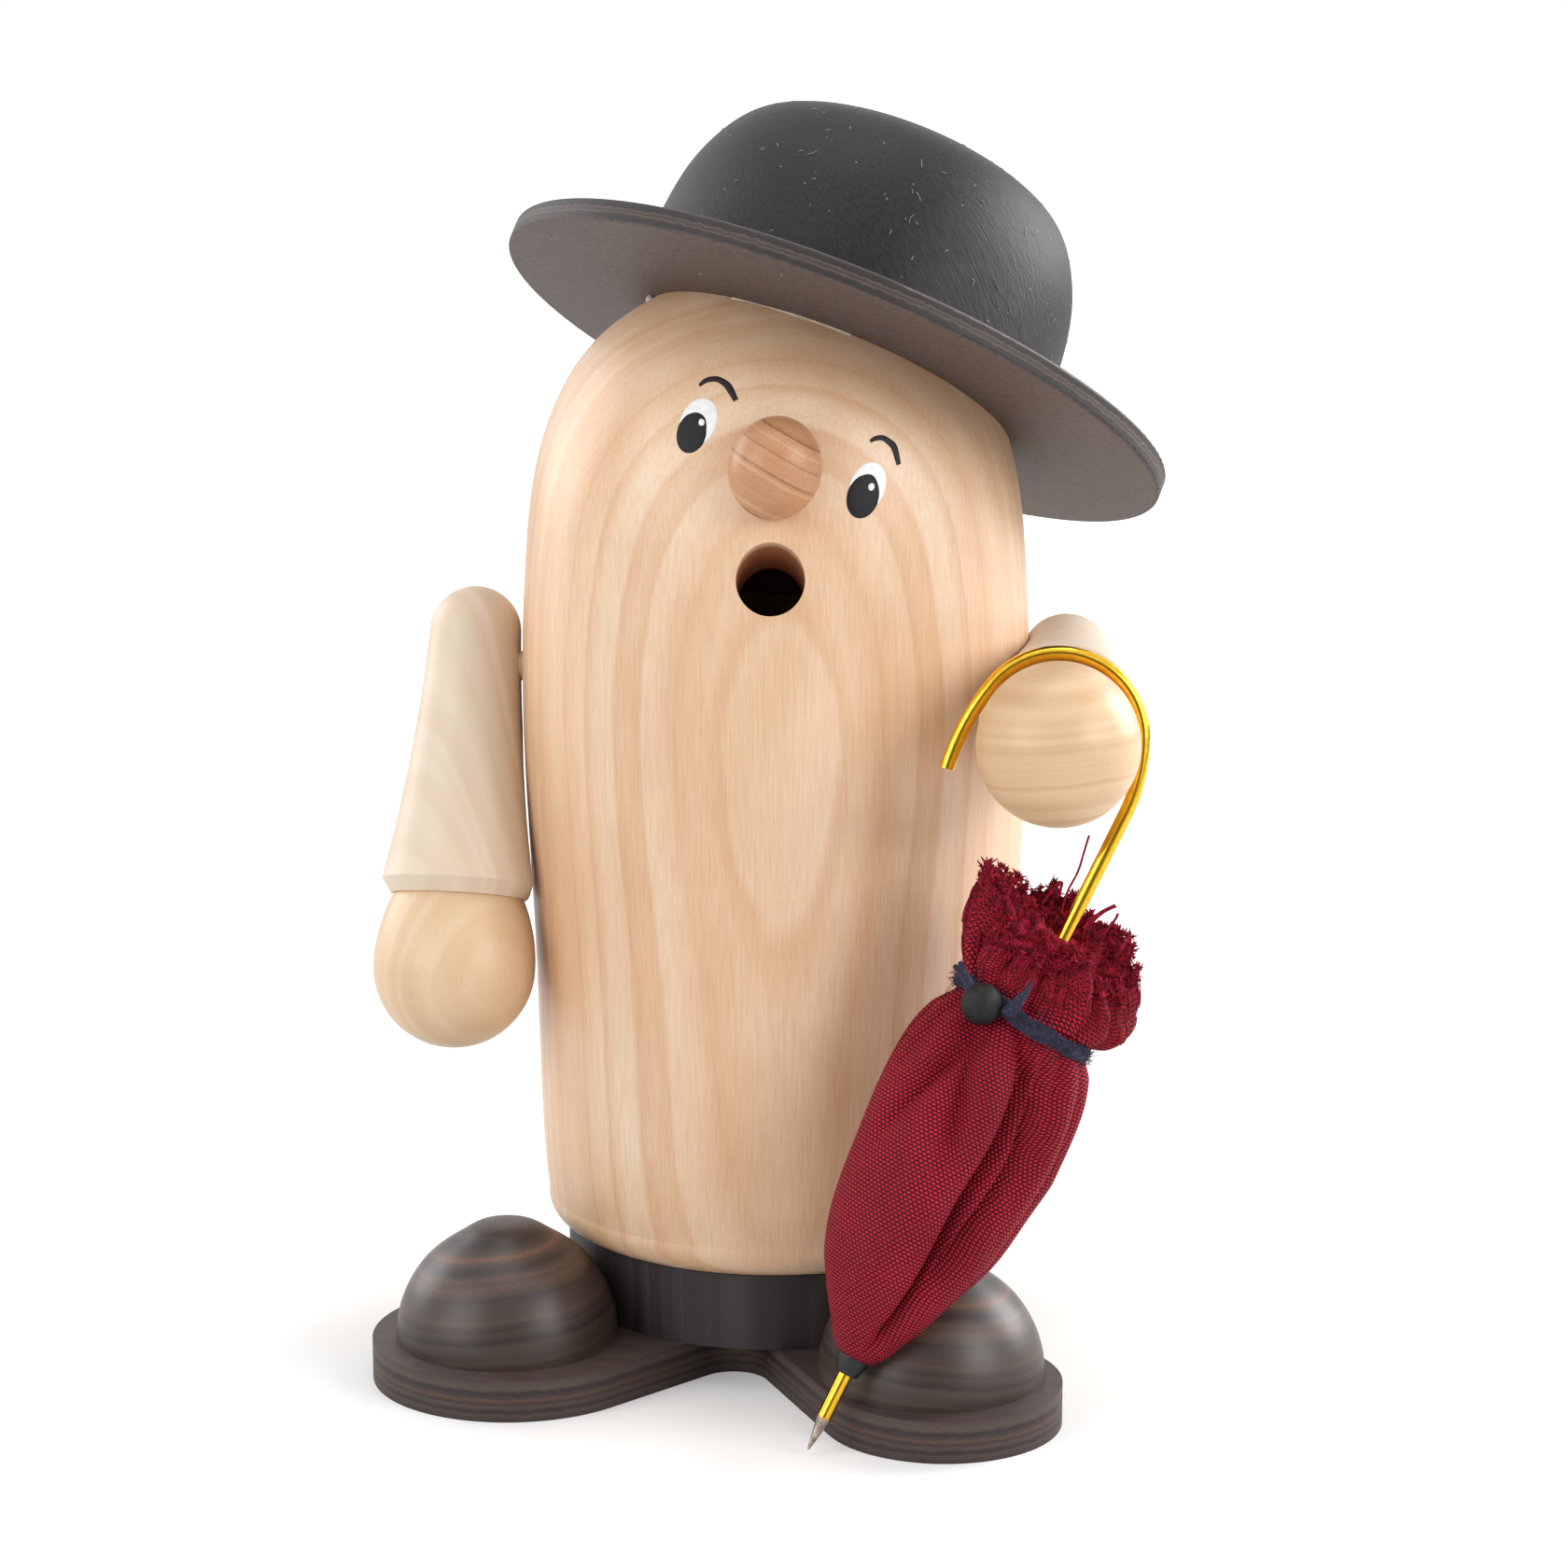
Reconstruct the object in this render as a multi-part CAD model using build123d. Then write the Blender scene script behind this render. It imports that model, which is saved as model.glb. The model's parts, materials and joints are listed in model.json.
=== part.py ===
from build123d import *
import os
from math import cos, radians, sin, sqrt, tan

os.makedirs("parts", exist_ok=True)

# A turned wooden incense smoker: a figure with a tilted hat that lifts off its base,
# and an umbrella that hangs by its hook from the right wrist and stands on its tip.
# Millimetres, floor at Z = 0, body axis on Z, the face looks towards -Y.

# Fits
lift_clearance = 0.3
soft_clearance = 0.3
glue_line = 0.05
cut_overrun = 10.0

# Base: a sawn plywood sole with two feet, a turned block with a spigot, two shoes
base_turn = 14.8
sole_thickness = 5.6
ankle_radius = 10.4
toe_radius_left = 19.2
toe_radius_right = 15.8
toe_reach_left = 41.2
toe_reach_right = 45.0
toe_splay = 43.5
heel_radius = 23.5
heel_offset = 6.5
web_fillet = 4.8
block_radius = 28.8
block_height = 10.3
spigot_height = 9.0
spigot_chamfer = 1.0
shoe_radius = 14.9
shoe_height = 15.9
shoe_reach = 42.4
shoe_profile_shares = [(0.871, 0.476), (0.654, 0.73), (0.413, 0.886)]

# Incense dish on the spigot, and its pin
dish_radius = 13.0
dish_thickness = 0.8
dish_rim_height = 2.2
dish_rim_slope = 1.4
pin_radius = 0.8
pin_length = 12.0
pin_head_radius = 1.8
pin_head_height = 0.7

# Body: a bored barrel with a domed top, cut flat for the hat
body_bottom_radius = 28.3
body_foot_ledge_width = 3.2
body_foot_height = 4.4
body_girth_radius = 34.3
body_height = 131.6
body_foot_flare = 0.12
body_profile_shares = [
    (0.943, 0.13),
    (0.962, 0.30),
    (1.0, 0.575),
    (0.982, 0.70),
    (0.957, 0.765),
    (0.917, 0.815),
    (0.85, 0.862),
    (0.765, 0.90),
    (0.625, 0.937),
    (0.40, 0.972),
]
body_wall_thickness = 11.8
bore_roof_thickness = 31.6
bore_fillet = 6.0
mouth_diameter = 8.8
mouth_roof_distance = 6.0
mouth_side = -0.6
mouth_slope = 25.0

# Nose: an oval bead let into the face
nose_width = 11.8
nose_height = 13.2
nose_top_distance = 23.6
nose_stand_out = 1.2
nose_lean = 12.0

# Arms: a flared sleeve and a turned hand on dowels, seen from the shoulder dowel
shoulder_height = 76.8
sleeve_above = 10.9
sleeve_top_radius = 6.2
sleeve_waist_radius = 7.55
sleeve_waist_share = 0.38
cuff_radius = 10.5
cuff_chamfer_length = 2.0
sleeve_below = 31.5
hand_neck = 9.5
left_shoulder_distance = 6.75
left_back = 1.0
left_swing = 17.8
left_splay = 3.15
left_cuff_end_radius = 9.2
left_hand_radius = 10.9
left_wrist_radius = 8.8
right_shoulder_distance = 5.0
right_back = 0.0
right_swing = 86.1
right_splay = -5.2
right_cuff_end_radius = 8.7
right_hand_radius = 10.4
right_wrist_radius = 7.9

# Hat: a plywood brim and a turned crown on one dowel, tilted back and to the right
hat_lean_x = 0.42
hat_lean_y = 0.37
brim_centre_x = 7.5
brim_centre_y = 5.4
brim_top_distance = 16.1
brim_radius = 47.0
brim_thickness = 3.0
brim_edge_radius = 0.4
crown_radius = 29.4
crown_height = 31.0
crown_shift = -0.7
crown_edge_flare = -0.03
crown_profile_shares = [(0.982, 0.34), (0.952, 0.52), (0.88, 0.70), (0.765, 0.845), (0.51, 0.953)]

# Dowels
dowel_radius = 2.0
dowel_depth = 6.0
upright_dowel_start = 1.9
hat_dowel_radius = 4.0
hat_dowel_depth = 12.0

# Umbrella: one bent wire with a ground point, and a furled cloth tied by a band
wire_diameter = 1.9
hook_radius = 10.8
hook_drop = 0.6
hook_shift = -0.15
hook_wrap = 140.0
hook_behind_hand = 6.05
tail_radius = 31.0
tail_angle = 23.0
neck_radius = 22.0
umbrella_lean = 26.5
umbrella_tilt = 11.3
tip_clearance = 0.9
point_length = 4.6
point_radius = 0.15
ferrule_start = 10.8
ferrule_length = 4.2
ferrule_radius = 2.2
ferrule_end_radius = 1.5
ferrule_bell_share = 0.92
ferrule_bell_height_share = 0.33
cloth_start = 13.2
cloth_length = 62.6
cloth_reach = 14.0
# share of the length, then of the reach to the left, right, front and back
cloth_section_shares = [
    (0.0, 0.17, 0.18, 0.17, 0.155),
    (0.045, 0.31, 0.30, 0.33, 0.155),
    (0.105, 0.51, 0.44, 0.50, 0.16),
    (0.18, 0.69, 0.57, 0.66, 0.22),
    (0.29, 0.83, 0.77, 0.78, 0.42),
    (0.41, 0.91, 0.86, 0.83, 0.58),
    (0.53, 0.95, 0.92, 0.84, 0.64),
    (0.645, 0.93, 0.90, 0.80, 0.64),
    (0.715, 0.84, 0.82, 0.72, 0.60),
    (0.77, 0.70, 0.66, 0.62, 0.52),
    (0.82, 0.78, 0.90, 0.70, 0.60),
    (0.90, 0.84, 0.98, 0.80, 0.66),
    (1.0, 0.88, 0.80, 0.72, 0.60),
]
# angles round the cloth, from the right towards the front, of each valley, and how deep it is
fold_angles = [58.0, 102.0, 140.0, 222.0, 272.0, 318.0]
fold_depth_shares = [0.26, 0.10, 0.08, 0.14, 0.16, 0.12]
# the folds fade towards the band and the lower end
fold_rise_from_band = 6.0
fold_rise_from_end = 4.0
fold_share_at_end = 0.15
band_share = 0.77
band_height = 2.0
band_thickness = 1.6
band_round = 0.5
band_slant = 6.0
bead_radius = 2.65
bead_angle = 127.5
bead_drop = 1.1
bead_stand_out = 0.9

# Places worked out from the sizes above
block_top = sole_thickness + block_height
body_foot_radius = body_bottom_radius + body_foot_ledge_width
bore_radius = body_girth_radius - body_wall_thickness
bore_height = body_height - bore_roof_thickness
mouth_height = bore_height - mouth_roof_distance
nose_centre_height = body_height - nose_top_distance
brim_centre_height = body_height - brim_top_distance
left_reach = body_girth_radius + left_shoulder_distance
right_reach = body_girth_radius + right_shoulder_distance
spigot_radius = bore_radius - lift_clearance
wire_radius = wire_diameter / 2
mouth_radius = mouth_diameter / 2
arc_middle = sqrt(0.5)
toe_left = (-radians(toe_splay + base_turn), toe_reach_left, toe_radius_left)
toe_right = (radians(toe_splay - base_turn), toe_reach_right, toe_radius_right)


def polar(angle, reach):
    """A point on the floor plan, the angle taken from straight ahead."""
    return reach * sin(angle), -reach * cos(angle)


def turned(*edges):
    """A solid turned about Z from an outline of radii and heights."""
    return revolve(Plane.XZ * make_face(edges), Axis.Z)


def drilled(part, *tools):
    for tool in tools:
        part = part - tool
    return part


def write(part, name):
    part.label = name
    export_step(part, f"parts/{name}.step")


# Base
def make_sole():
    """The heel's disc and two feet, with a rounded web in the notch between them."""
    outline = Pos(*polar(-radians(base_turn), -heel_offset)) * Circle(heel_radius)
    for angle, reach, radius in (toe_left, toe_right):
        toe = Pos(*polar(angle, reach)) * Circle(radius)
        outline += make_hull(Circle(ankle_radius).edges() + toe.edges())
    corners = [v for v in outline.vertices() if Vector(v.X, v.Y).length < toe_reach_left - toe_radius_left]
    web = min(corners, key=lambda v: v.Y)
    return extrude(fillet(web, web_fillet), sole_thickness)


def make_shoe(centre, grow=0.0):
    """A turned dome on the sole, or the room it needs when it is grown."""
    radius, height = shoe_radius + grow, shoe_height + grow
    profile = [(r * radius, z * height) for r, z in shoe_profile_shares]
    points = [(radius, 0), *profile, (0, height)]
    dome = Spline(points, tangents=[(0, 1), (-1, 0)])
    shoe = turned(Line((0, 0), (radius, 0)), dome, Line((0, height), (0, 0)))
    return Pos(*centre, sole_thickness) * shoe


def make_block():
    """The collar under the body, with the spigot that the figure is lifted off."""
    spigot_top = block_height + spigot_height
    block = Cylinder(block_radius, block_height, align=(Align.CENTER, Align.CENTER, Align.MIN))
    spigot = Cylinder(spigot_radius, spigot_top, align=(Align.CENTER, Align.CENTER, Align.MIN))
    spigot = chamfer(spigot.faces().sort_by(Axis.Z)[-1].edges(), spigot_chamfer)
    return Pos(0, 0, sole_thickness) * (block + spigot)


def make_dish():
    """A pressed dish with a sloped rim, for the incense cone."""
    seat = block_top + spigot_height
    rim = dish_radius - dish_rim_slope
    outline = Polyline(
        (0, 0),
        (rim, 0),
        (dish_radius, dish_rim_height),
        (dish_radius - dish_thickness, dish_rim_height),
        (rim - dish_thickness / 2, dish_thickness),
        (0, dish_thickness),
        close=True,
    )
    return Pos(0, 0, seat) * revolve(Plane.XZ * make_face(outline), Axis.Z)


def make_pin():
    head_seat = block_top + spigot_height + dish_thickness
    shank = Cylinder(pin_radius, pin_length, align=(Align.CENTER, Align.CENTER, Align.MAX))
    head = Cone(pin_head_radius, pin_radius, pin_head_height, align=(Align.CENTER, Align.CENTER, Align.MIN))
    return Pos(0, 0, head_seat) * (shank + head)


def upright_dowel(centre, top):
    length = top - upright_dowel_start
    dowel = Cylinder(dowel_radius, length, align=(Align.CENTER, Align.CENTER, Align.MIN))
    return Pos(*centre, upright_dowel_start) * dowel


# Body
def body_radius_at(height):
    """The barrel's radius at a height above its underside, between the named places of its profile."""
    places = [(body_foot_radius, body_foot_height)]
    places += [(r * body_girth_radius, z * body_height) for r, z in body_profile_shares]
    for (r0, z0), (r1, z1) in zip(places, places[1:]):
        if z0 <= height <= z1:
            return r0 + (r1 - r0) * (height - z0) / (z1 - z0)
    return body_bottom_radius


def hat_plane(along=0.0):
    """The plane of the brim's underside, moved along the hat's axis."""
    normal = Vector(hat_lean_x, hat_lean_y, 1).normalized()
    centre = Vector(brim_centre_x, brim_centre_y, block_top + brim_centre_height)
    return Plane(origin=centre + normal * along, x_dir=(1, 0, -hat_lean_x), z_dir=normal)


def make_barrel():
    """The barrel's outside, cut flat where the hat sits."""
    side = [(r * body_girth_radius, z * body_height) for r, z in body_profile_shares]
    foot = (body_foot_radius, body_foot_height)
    edge = (body_bottom_radius, 0)
    top = (0, body_height)
    rounding = (body_foot_height + body_foot_radius - body_bottom_radius) / 2
    barrel = turned(
        Line((0, 0), edge),
        RadiusArc(edge, foot, -rounding),
        Spline([foot, *side, top], tangents=[(body_foot_flare, 1), (-1, 0)]),
        Line(top, (0, 0)),
    )
    barrel = Pos(0, 0, block_top) * barrel
    slab = Cylinder(body_girth_radius * 2, body_height, align=(Align.CENTER, Align.CENTER, Align.MIN))
    return barrel - hat_plane() * slab


def make_bore():
    """The smoke chamber, open below, with a rounded top."""
    bore = Cylinder(bore_radius, bore_height + cut_overrun, align=(Align.CENTER, Align.CENTER, Align.MAX))
    bore = fillet(bore.faces().sort_by(Axis.Z)[-1].edges(), bore_fillet)
    return Pos(0, 0, block_top + bore_height) * bore


def make_mouth_channel():
    """A drilling that falls towards the chamber, from outside the face to inside the bore."""
    length = (body_girth_radius - bore_radius / 2) / cos(radians(mouth_slope))
    lip = -body_radius_at(mouth_height)
    channel = Cylinder(mouth_radius, length + cut_overrun, align=(Align.CENTER, Align.CENTER, Align.MAX))
    face = Plane(
        origin=(mouth_side, lip, block_top + mouth_height),
        x_dir=(1, 0, 0),
        z_dir=(0, -cos(radians(mouth_slope)), sin(radians(mouth_slope))),
    )
    return face * Pos(0, 0, cut_overrun) * channel


def make_nose():
    """An oval bead, its long axis nearly upright."""
    half_width = nose_width / 2
    half_height = nose_height / 2
    oval = EllipticalCenterArc((0, 0), half_width, half_height, start_angle=-90, arc_size=180)
    bead = turned(oval, Line((0, half_height), (0, -half_height)))
    out = -(body_radius_at(nose_centre_height) + nose_stand_out)
    return Pos(0, out, block_top + nose_centre_height) * Rot(0, nose_lean, 0) * bead


# Arms
def arm_plane(side, reach, back, swing, splay):
    """A frame at the shoulder dowel with Z towards the hand."""
    swing, splay = radians(swing), radians(splay)
    direction = (side * sin(splay), -sin(swing) * cos(splay), -cos(swing) * cos(splay))
    return Plane(origin=(side * reach, back, block_top + shoulder_height), x_dir=(0, cos(swing), -sin(swing)),
                 z_dir=direction)


def make_sleeve(frame, cuff_end_radius):
    """A flared sleeve with a domed shoulder and a chamfered cuff."""
    shoulder = sleeve_above - sleeve_top_radius
    rim = sleeve_below - cuff_chamfer_length
    waist = (sleeve_waist_radius, rim * sleeve_waist_share)
    sleeve = turned(
        ThreePointArc(
            (0, -sleeve_above),
            (sleeve_top_radius * arc_middle, -shoulder - sleeve_top_radius * arc_middle),
            (sleeve_top_radius, -shoulder),
        ),
        Spline((sleeve_top_radius, -shoulder), waist, (cuff_radius, rim)),
        Line((cuff_radius, rim), (cuff_end_radius, sleeve_below)),
        Line((cuff_end_radius, sleeve_below), (0, sleeve_below)),
        Line((0, sleeve_below), (0, -sleeve_above)),
    )
    return frame * sleeve


def make_hand(frame, hand_radius, wrist_radius):
    """A ball that thins to the wrist in one flat arc."""
    flank_radius = (hand_neck**2 + (hand_radius - wrist_radius) ** 2) / (2 * (hand_radius - wrist_radius))
    hand = turned(
        Line((0, -hand_neck), (wrist_radius, -hand_neck)),
        RadiusArc((wrist_radius, -hand_neck), (hand_radius, 0), -flank_radius),
        ThreePointArc(
            (hand_radius, 0),
            (hand_radius * arc_middle, hand_radius * arc_middle),
            (0, hand_radius),
        ),
        Line((0, hand_radius), (0, -hand_neck)),
    )
    return frame * Pos(0, 0, sleeve_below + hand_neck) * hand


def make_shoulder_dowel(frame, side):
    """A level dowel from the middle of the sleeve into the body's wall."""
    dowel = Cylinder(dowel_radius, dowel_depth * 2, align=(Align.CENTER, Align.CENTER, Align.MAX))
    return Pos(frame.origin) * Rot(0, side * 90, 0) * dowel


def make_wrist_dowel(frame):
    return frame * Pos(0, 0, sleeve_below) * Cylinder(dowel_radius, dowel_depth * 2)


# Hat
def make_brim():
    """A plywood disc with eased edges."""
    brim = Cylinder(brim_radius, brim_thickness, align=(Align.CENTER, Align.CENTER, Align.MIN))
    brim = fillet(brim.edges().filter_by(GeomType.CIRCLE), brim_edge_radius)
    return hat_plane() * brim


def make_crown():
    """A turned crown with a rounded top, glued on the brim."""
    side = [(r * crown_radius, z * crown_height) for r, z in crown_profile_shares]
    top = (0, crown_height)
    crown = turned(
        Line((0, 0), (crown_radius, 0)),
        Spline([(crown_radius, 0), *side, top], tangents=[(crown_edge_flare, 1), (-1, 0)]),
        Line(top, (0, 0)),
    )
    return hat_plane(brim_thickness) * Pos(crown_shift, 0, 0) * crown


def make_hat_dowel():
    length = hat_dowel_depth * 2 + brim_thickness
    dowel = Cylinder(hat_dowel_radius, length, align=(Align.CENTER, Align.CENTER, Align.MIN))
    return hat_plane(-hat_dowel_depth) * dowel


# Umbrella
def wrist_point(along):
    """A point on the right arm's axis, measured back from the hand's widest place."""
    frame = arm_plane(1, right_reach, right_back, right_swing, right_splay)
    return frame.origin + frame.z_dir * (sleeve_below + hand_neck - along)


def umbrella_plane():
    """The wire's own plane, seen from the front, with its origin at the middle of the hook."""
    tilt = radians(umbrella_tilt)
    centre = wrist_point(hook_behind_hand) + Vector(hook_shift, 0, -hook_drop)
    return Plane(origin=centre, x_dir=(1, 0, 0), z_dir=(0, -cos(tilt), sin(tilt)))


def neck_end():
    lean = radians(umbrella_lean)
    return hook_radius - neck_radius * (1 - cos(lean)), -neck_radius * sin(lean)


def wire_tip():
    lean = radians(umbrella_lean)
    x, y = neck_end()
    low = -(umbrella_plane().origin.Z - tip_clearance) / cos(radians(umbrella_tilt))
    return x - (y - low) * tan(lean), low


def shaft_frame():
    """A frame at the tip, Z up the shaft, X to the right and -Y to the front."""
    lean = radians(umbrella_lean)
    plane = umbrella_plane()
    along = plane.x_dir * sin(lean) + plane.y_dir * cos(lean)
    across = plane.x_dir * cos(lean) - plane.y_dir * sin(lean)
    return Plane(origin=plane.from_local_coords(wire_tip()), x_dir=across, z_dir=along)


def make_wire():
    """Shaft, neck, hook and tail as one tangent run, the end ground to a point."""
    wrap = radians(hook_wrap)
    beyond = tail_radius - hook_radius
    lean = radians(umbrella_lean)
    tip, neck = Vector(*wire_tip()), Vector(*neck_end())
    start = tip + (neck - tip).normalized() * point_length
    path = [
        Line(start, neck),
        CenterArc((hook_radius - neck_radius, 0), neck_radius, -umbrella_lean, umbrella_lean),
        CenterArc((0, 0), hook_radius, 0, hook_wrap),
        CenterArc((-beyond * cos(wrap), -beyond * sin(wrap)), tail_radius, hook_wrap, tail_angle),
    ]
    section = Plane(origin=start, z_dir=(sin(lean), cos(lean), 0)) * Circle(wire_radius)
    wire = umbrella_plane() * sweep(section, Wire(path))
    point = Cone(point_radius, wire_radius, point_length, align=(Align.CENTER, Align.CENTER, Align.MIN))
    return wire + shaft_frame() * point


def cloth_outline(share_left, share_right, share_front, share_back, fold=1.0):
    """One section of the gathered cloth: bulges between the valleys of the folds."""
    def place(angle, inset):
        x, y = cos(radians(angle)), -sin(radians(angle))
        x *= cloth_reach * (share_right if x > 0 else share_left) * (1 - inset)
        y *= cloth_reach * (share_front if y < 0 else share_back) * (1 - inset)
        return x, y

    bulges = []
    for i, angle in enumerate(fold_angles):
        following = fold_angles[(i + 1) % len(fold_angles)]
        if following < angle:
            following += 360
        start = place(angle, fold_depth_shares[i] * fold)
        end = place(following, fold_depth_shares[(i + 1) % len(fold_angles)] * fold)
        bulges.append(ThreePointArc(start, place((angle + following) / 2, 0), end))
    return make_face(bulges)


def cloth_height(share):
    return cloth_start + cloth_length * share


def make_cloth(*hollows):
    """Furled cloth with its main folds, drawn in by the band, with its gathered edge above."""
    sections = []
    for share, left, right, front, back in cloth_section_shares:
        from_band = abs(share - band_share) * fold_rise_from_band
        from_end = fold_share_at_end + share * fold_rise_from_end
        fold = min(1.0, from_band, from_end)
        section = cloth_outline(left, right, front, back, fold)
        sections.append((share, Pos(0, 0, cloth_height(share)) * section))
    canopy = loft([section for share, section in sections if share <= band_share])
    frill = loft([section for share, section in sections if share >= band_share])
    upwards = (Align.CENTER, Align.CENTER, Align.MIN)
    channel = Cylinder(wire_radius + soft_clearance, cloth_length + cut_overrun * 2, align=upwards)
    seat = Cylinder(ferrule_radius + soft_clearance, ferrule_length + soft_clearance, align=upwards)
    cloth = drilled(canopy + frill, channel, Pos(0, 0, ferrule_start) * seat)
    return drilled(shaft_frame() * cloth, *hollows)


def make_ferrule():
    """A small bell on the wire that closes the cloth's lower end."""
    end = ferrule_length
    bell = (ferrule_radius * ferrule_bell_share, end * ferrule_bell_height_share)
    ferrule = turned(
        Line((wire_radius, 0), (ferrule_end_radius, 0)),
        ThreePointArc((ferrule_end_radius, 0), bell, (ferrule_radius, end)),
        Line((ferrule_radius, end), (wire_radius, end)),
        Line((wire_radius, end), (wire_radius, 0)),
    )
    return shaft_frame() * Pos(0, 0, ferrule_start) * ferrule


def band_frame():
    """The band's own frame on the shaft, a little lower on the right."""
    return shaft_frame() * Pos(0, 0, cloth_height(band_share)) * Rot(0, band_slant, 0)


def band_section(grow):
    """The ellipse of the cloth's waist, grown by a gap."""
    _, left, right, front, back = next(row for row in cloth_section_shares if row[0] == band_share)
    middle = (cloth_reach * (right - left) / 2, cloth_reach * (back - front) / 2)
    half_width = cloth_reach * (left + right) / 2
    half_depth = cloth_reach * (front + back) / 2
    return Pos(*middle) * Ellipse(half_width + grow, half_depth + grow)


def make_band(grow=0.0):
    """The tie as a flat ring, or with its clearance when it is grown."""
    outer = extrude(band_section(band_thickness / 2 + grow), band_height / 2 + grow, both=True)
    if not grow:
        outer = fillet(outer.edges(), band_round)
    inner = extrude(band_section(-band_thickness / 2 - grow), band_height + cut_overrun, both=True)
    return band_frame() * (outer - inner)


def make_bead(grow=0.0):
    """A round bead threaded on the band, left of the middle in front."""
    _, left, right, front, back = next(row for row in cloth_section_shares if row[0] == band_share)
    angle = radians(bead_angle)
    x = cloth_reach * ((right - left) / 2 + (left + right) / 2 * cos(angle))
    y = cloth_reach * ((back - front) / 2 - (front + back) / 2 * sin(angle)) - bead_stand_out
    return band_frame() * Pos(x, y, -bead_drop) * Sphere(bead_radius + grow)


# Assembly: the base
shoe_left_centre = polar(-radians(toe_splay + base_turn), shoe_reach)
shoe_right_centre = polar(radians(toe_splay - base_turn), shoe_reach)
shoe_dowel_left = upright_dowel(shoe_left_centre, sole_thickness + dowel_depth)
shoe_dowel_right = upright_dowel(shoe_right_centre, sole_thickness + dowel_depth)
base_dowel = upright_dowel((0, 0), sole_thickness + dowel_depth)
pin = make_pin()
block = make_block()
barrel = make_barrel()
write(drilled(make_sole(), shoe_dowel_left, shoe_dowel_right, base_dowel), "foot_plate")
write(drilled(make_shoe(shoe_left_centre), block, barrel, shoe_dowel_left), "shoe_left")
write(drilled(make_shoe(shoe_right_centre), block, barrel, shoe_dowel_right), "shoe_right")
write(shoe_dowel_left, "shoe_dowel_left")
write(shoe_dowel_right, "shoe_dowel_right")
write(drilled(block, base_dowel, pin), "base_block")
write(base_dowel, "base_dowel")
write(drilled(make_dish(), pin), "incense_plate")
write(pin, "plate_pin")

# Assembly: the figure
nose = make_nose()
hat_dowel = make_hat_dowel()
body_cuts = [make_bore(), make_mouth_channel(), nose, hat_dowel]
cope = Pos(0, 0, block_top + shoulder_height) * Cylinder(body_girth_radius + glue_line, body_height)
arms = {
    "left": (
        -1,
        arm_plane(-1, left_reach, left_back, left_swing, left_splay),
        (left_cuff_end_radius, left_hand_radius, left_wrist_radius),
    ),
    "right": (
        1,
        arm_plane(1, right_reach, right_back, right_swing, right_splay),
        (right_cuff_end_radius, right_hand_radius, right_wrist_radius),
    ),
}
for name, (side, frame, (cuff_end, hand, wrist)) in arms.items():
    shoulder_dowel = make_shoulder_dowel(frame, side)
    wrist_dowel = make_wrist_dowel(frame)
    body_cuts.append(shoulder_dowel)
    write(drilled(make_sleeve(frame, cuff_end), cope, shoulder_dowel, wrist_dowel), f"sleeve_{name}")
    write(drilled(make_hand(frame, hand, wrist), wrist_dowel), f"hand_{name}")
    write(shoulder_dowel, f"shoulder_dowel_{name}")
    write(wrist_dowel, f"wrist_dowel_{name}")
write(drilled(barrel, *body_cuts), "body")
write(nose, "nose")
write(drilled(make_brim(), hat_dowel), "hat_brim")
write(drilled(make_crown(), hat_dowel), "hat_crown")
write(hat_dowel, "hat_dowel")

# Assembly: the umbrella
wire = make_wire()
band = make_band()
bead = make_bead()
write(wire, "umbrella_wire")
write(make_ferrule(), "umbrella_ferrule")
shoe_room = make_shoe(shoe_right_centre, soft_clearance)
write(make_cloth(make_band(soft_clearance), make_bead(soft_clearance), shoe_room), "umbrella_cloth")
write(drilled(band, bead), "umbrella_band")
write(bead, "umbrella_bead")
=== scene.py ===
import json
import random
from math import cos, exp, pi, radians, sin

import bmesh
import bpy
from mathutils import Matrix, Vector
from mathutils.bvhtree import BVHTree

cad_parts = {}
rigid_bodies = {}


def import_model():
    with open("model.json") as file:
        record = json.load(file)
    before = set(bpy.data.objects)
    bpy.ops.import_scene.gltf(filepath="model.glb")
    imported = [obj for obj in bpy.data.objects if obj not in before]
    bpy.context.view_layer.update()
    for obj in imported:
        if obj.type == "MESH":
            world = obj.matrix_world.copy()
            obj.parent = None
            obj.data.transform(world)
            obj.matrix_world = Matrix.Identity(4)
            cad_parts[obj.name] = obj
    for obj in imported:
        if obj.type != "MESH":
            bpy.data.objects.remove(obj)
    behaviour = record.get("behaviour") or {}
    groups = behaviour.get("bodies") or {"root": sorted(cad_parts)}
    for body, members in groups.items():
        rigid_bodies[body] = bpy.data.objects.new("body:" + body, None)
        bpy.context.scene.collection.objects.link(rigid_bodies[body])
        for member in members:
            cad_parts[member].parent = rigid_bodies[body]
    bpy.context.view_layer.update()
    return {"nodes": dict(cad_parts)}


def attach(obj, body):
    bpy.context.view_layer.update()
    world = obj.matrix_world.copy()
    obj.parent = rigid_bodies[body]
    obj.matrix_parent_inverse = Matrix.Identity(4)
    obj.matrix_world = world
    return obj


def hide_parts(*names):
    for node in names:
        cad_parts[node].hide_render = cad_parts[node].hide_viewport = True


# A turned wooden incense smoker with a tilted hat and a furled cloth umbrella.
# Metres, floor at Z = 0, the face looks towards -Y. The frame holds every rigid piece.

for leftover in list(bpy.data.objects):
    bpy.data.objects.remove(leftover)
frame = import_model()
nodes = frame["nodes"]
MM = 0.001
random.seed(7)

# The umbrella's own frame: the tip of its wire, then along, across to the right, and to the front
TIP = Vector((4.199, -52.476, 0.9))
ALONG = Vector((0.44620, 0.17536, 0.87759))
ACROSS = Vector((0.89493, -0.08743, -0.43755))
FRONT = Vector((0.0, -0.98061, 0.19595))

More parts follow.
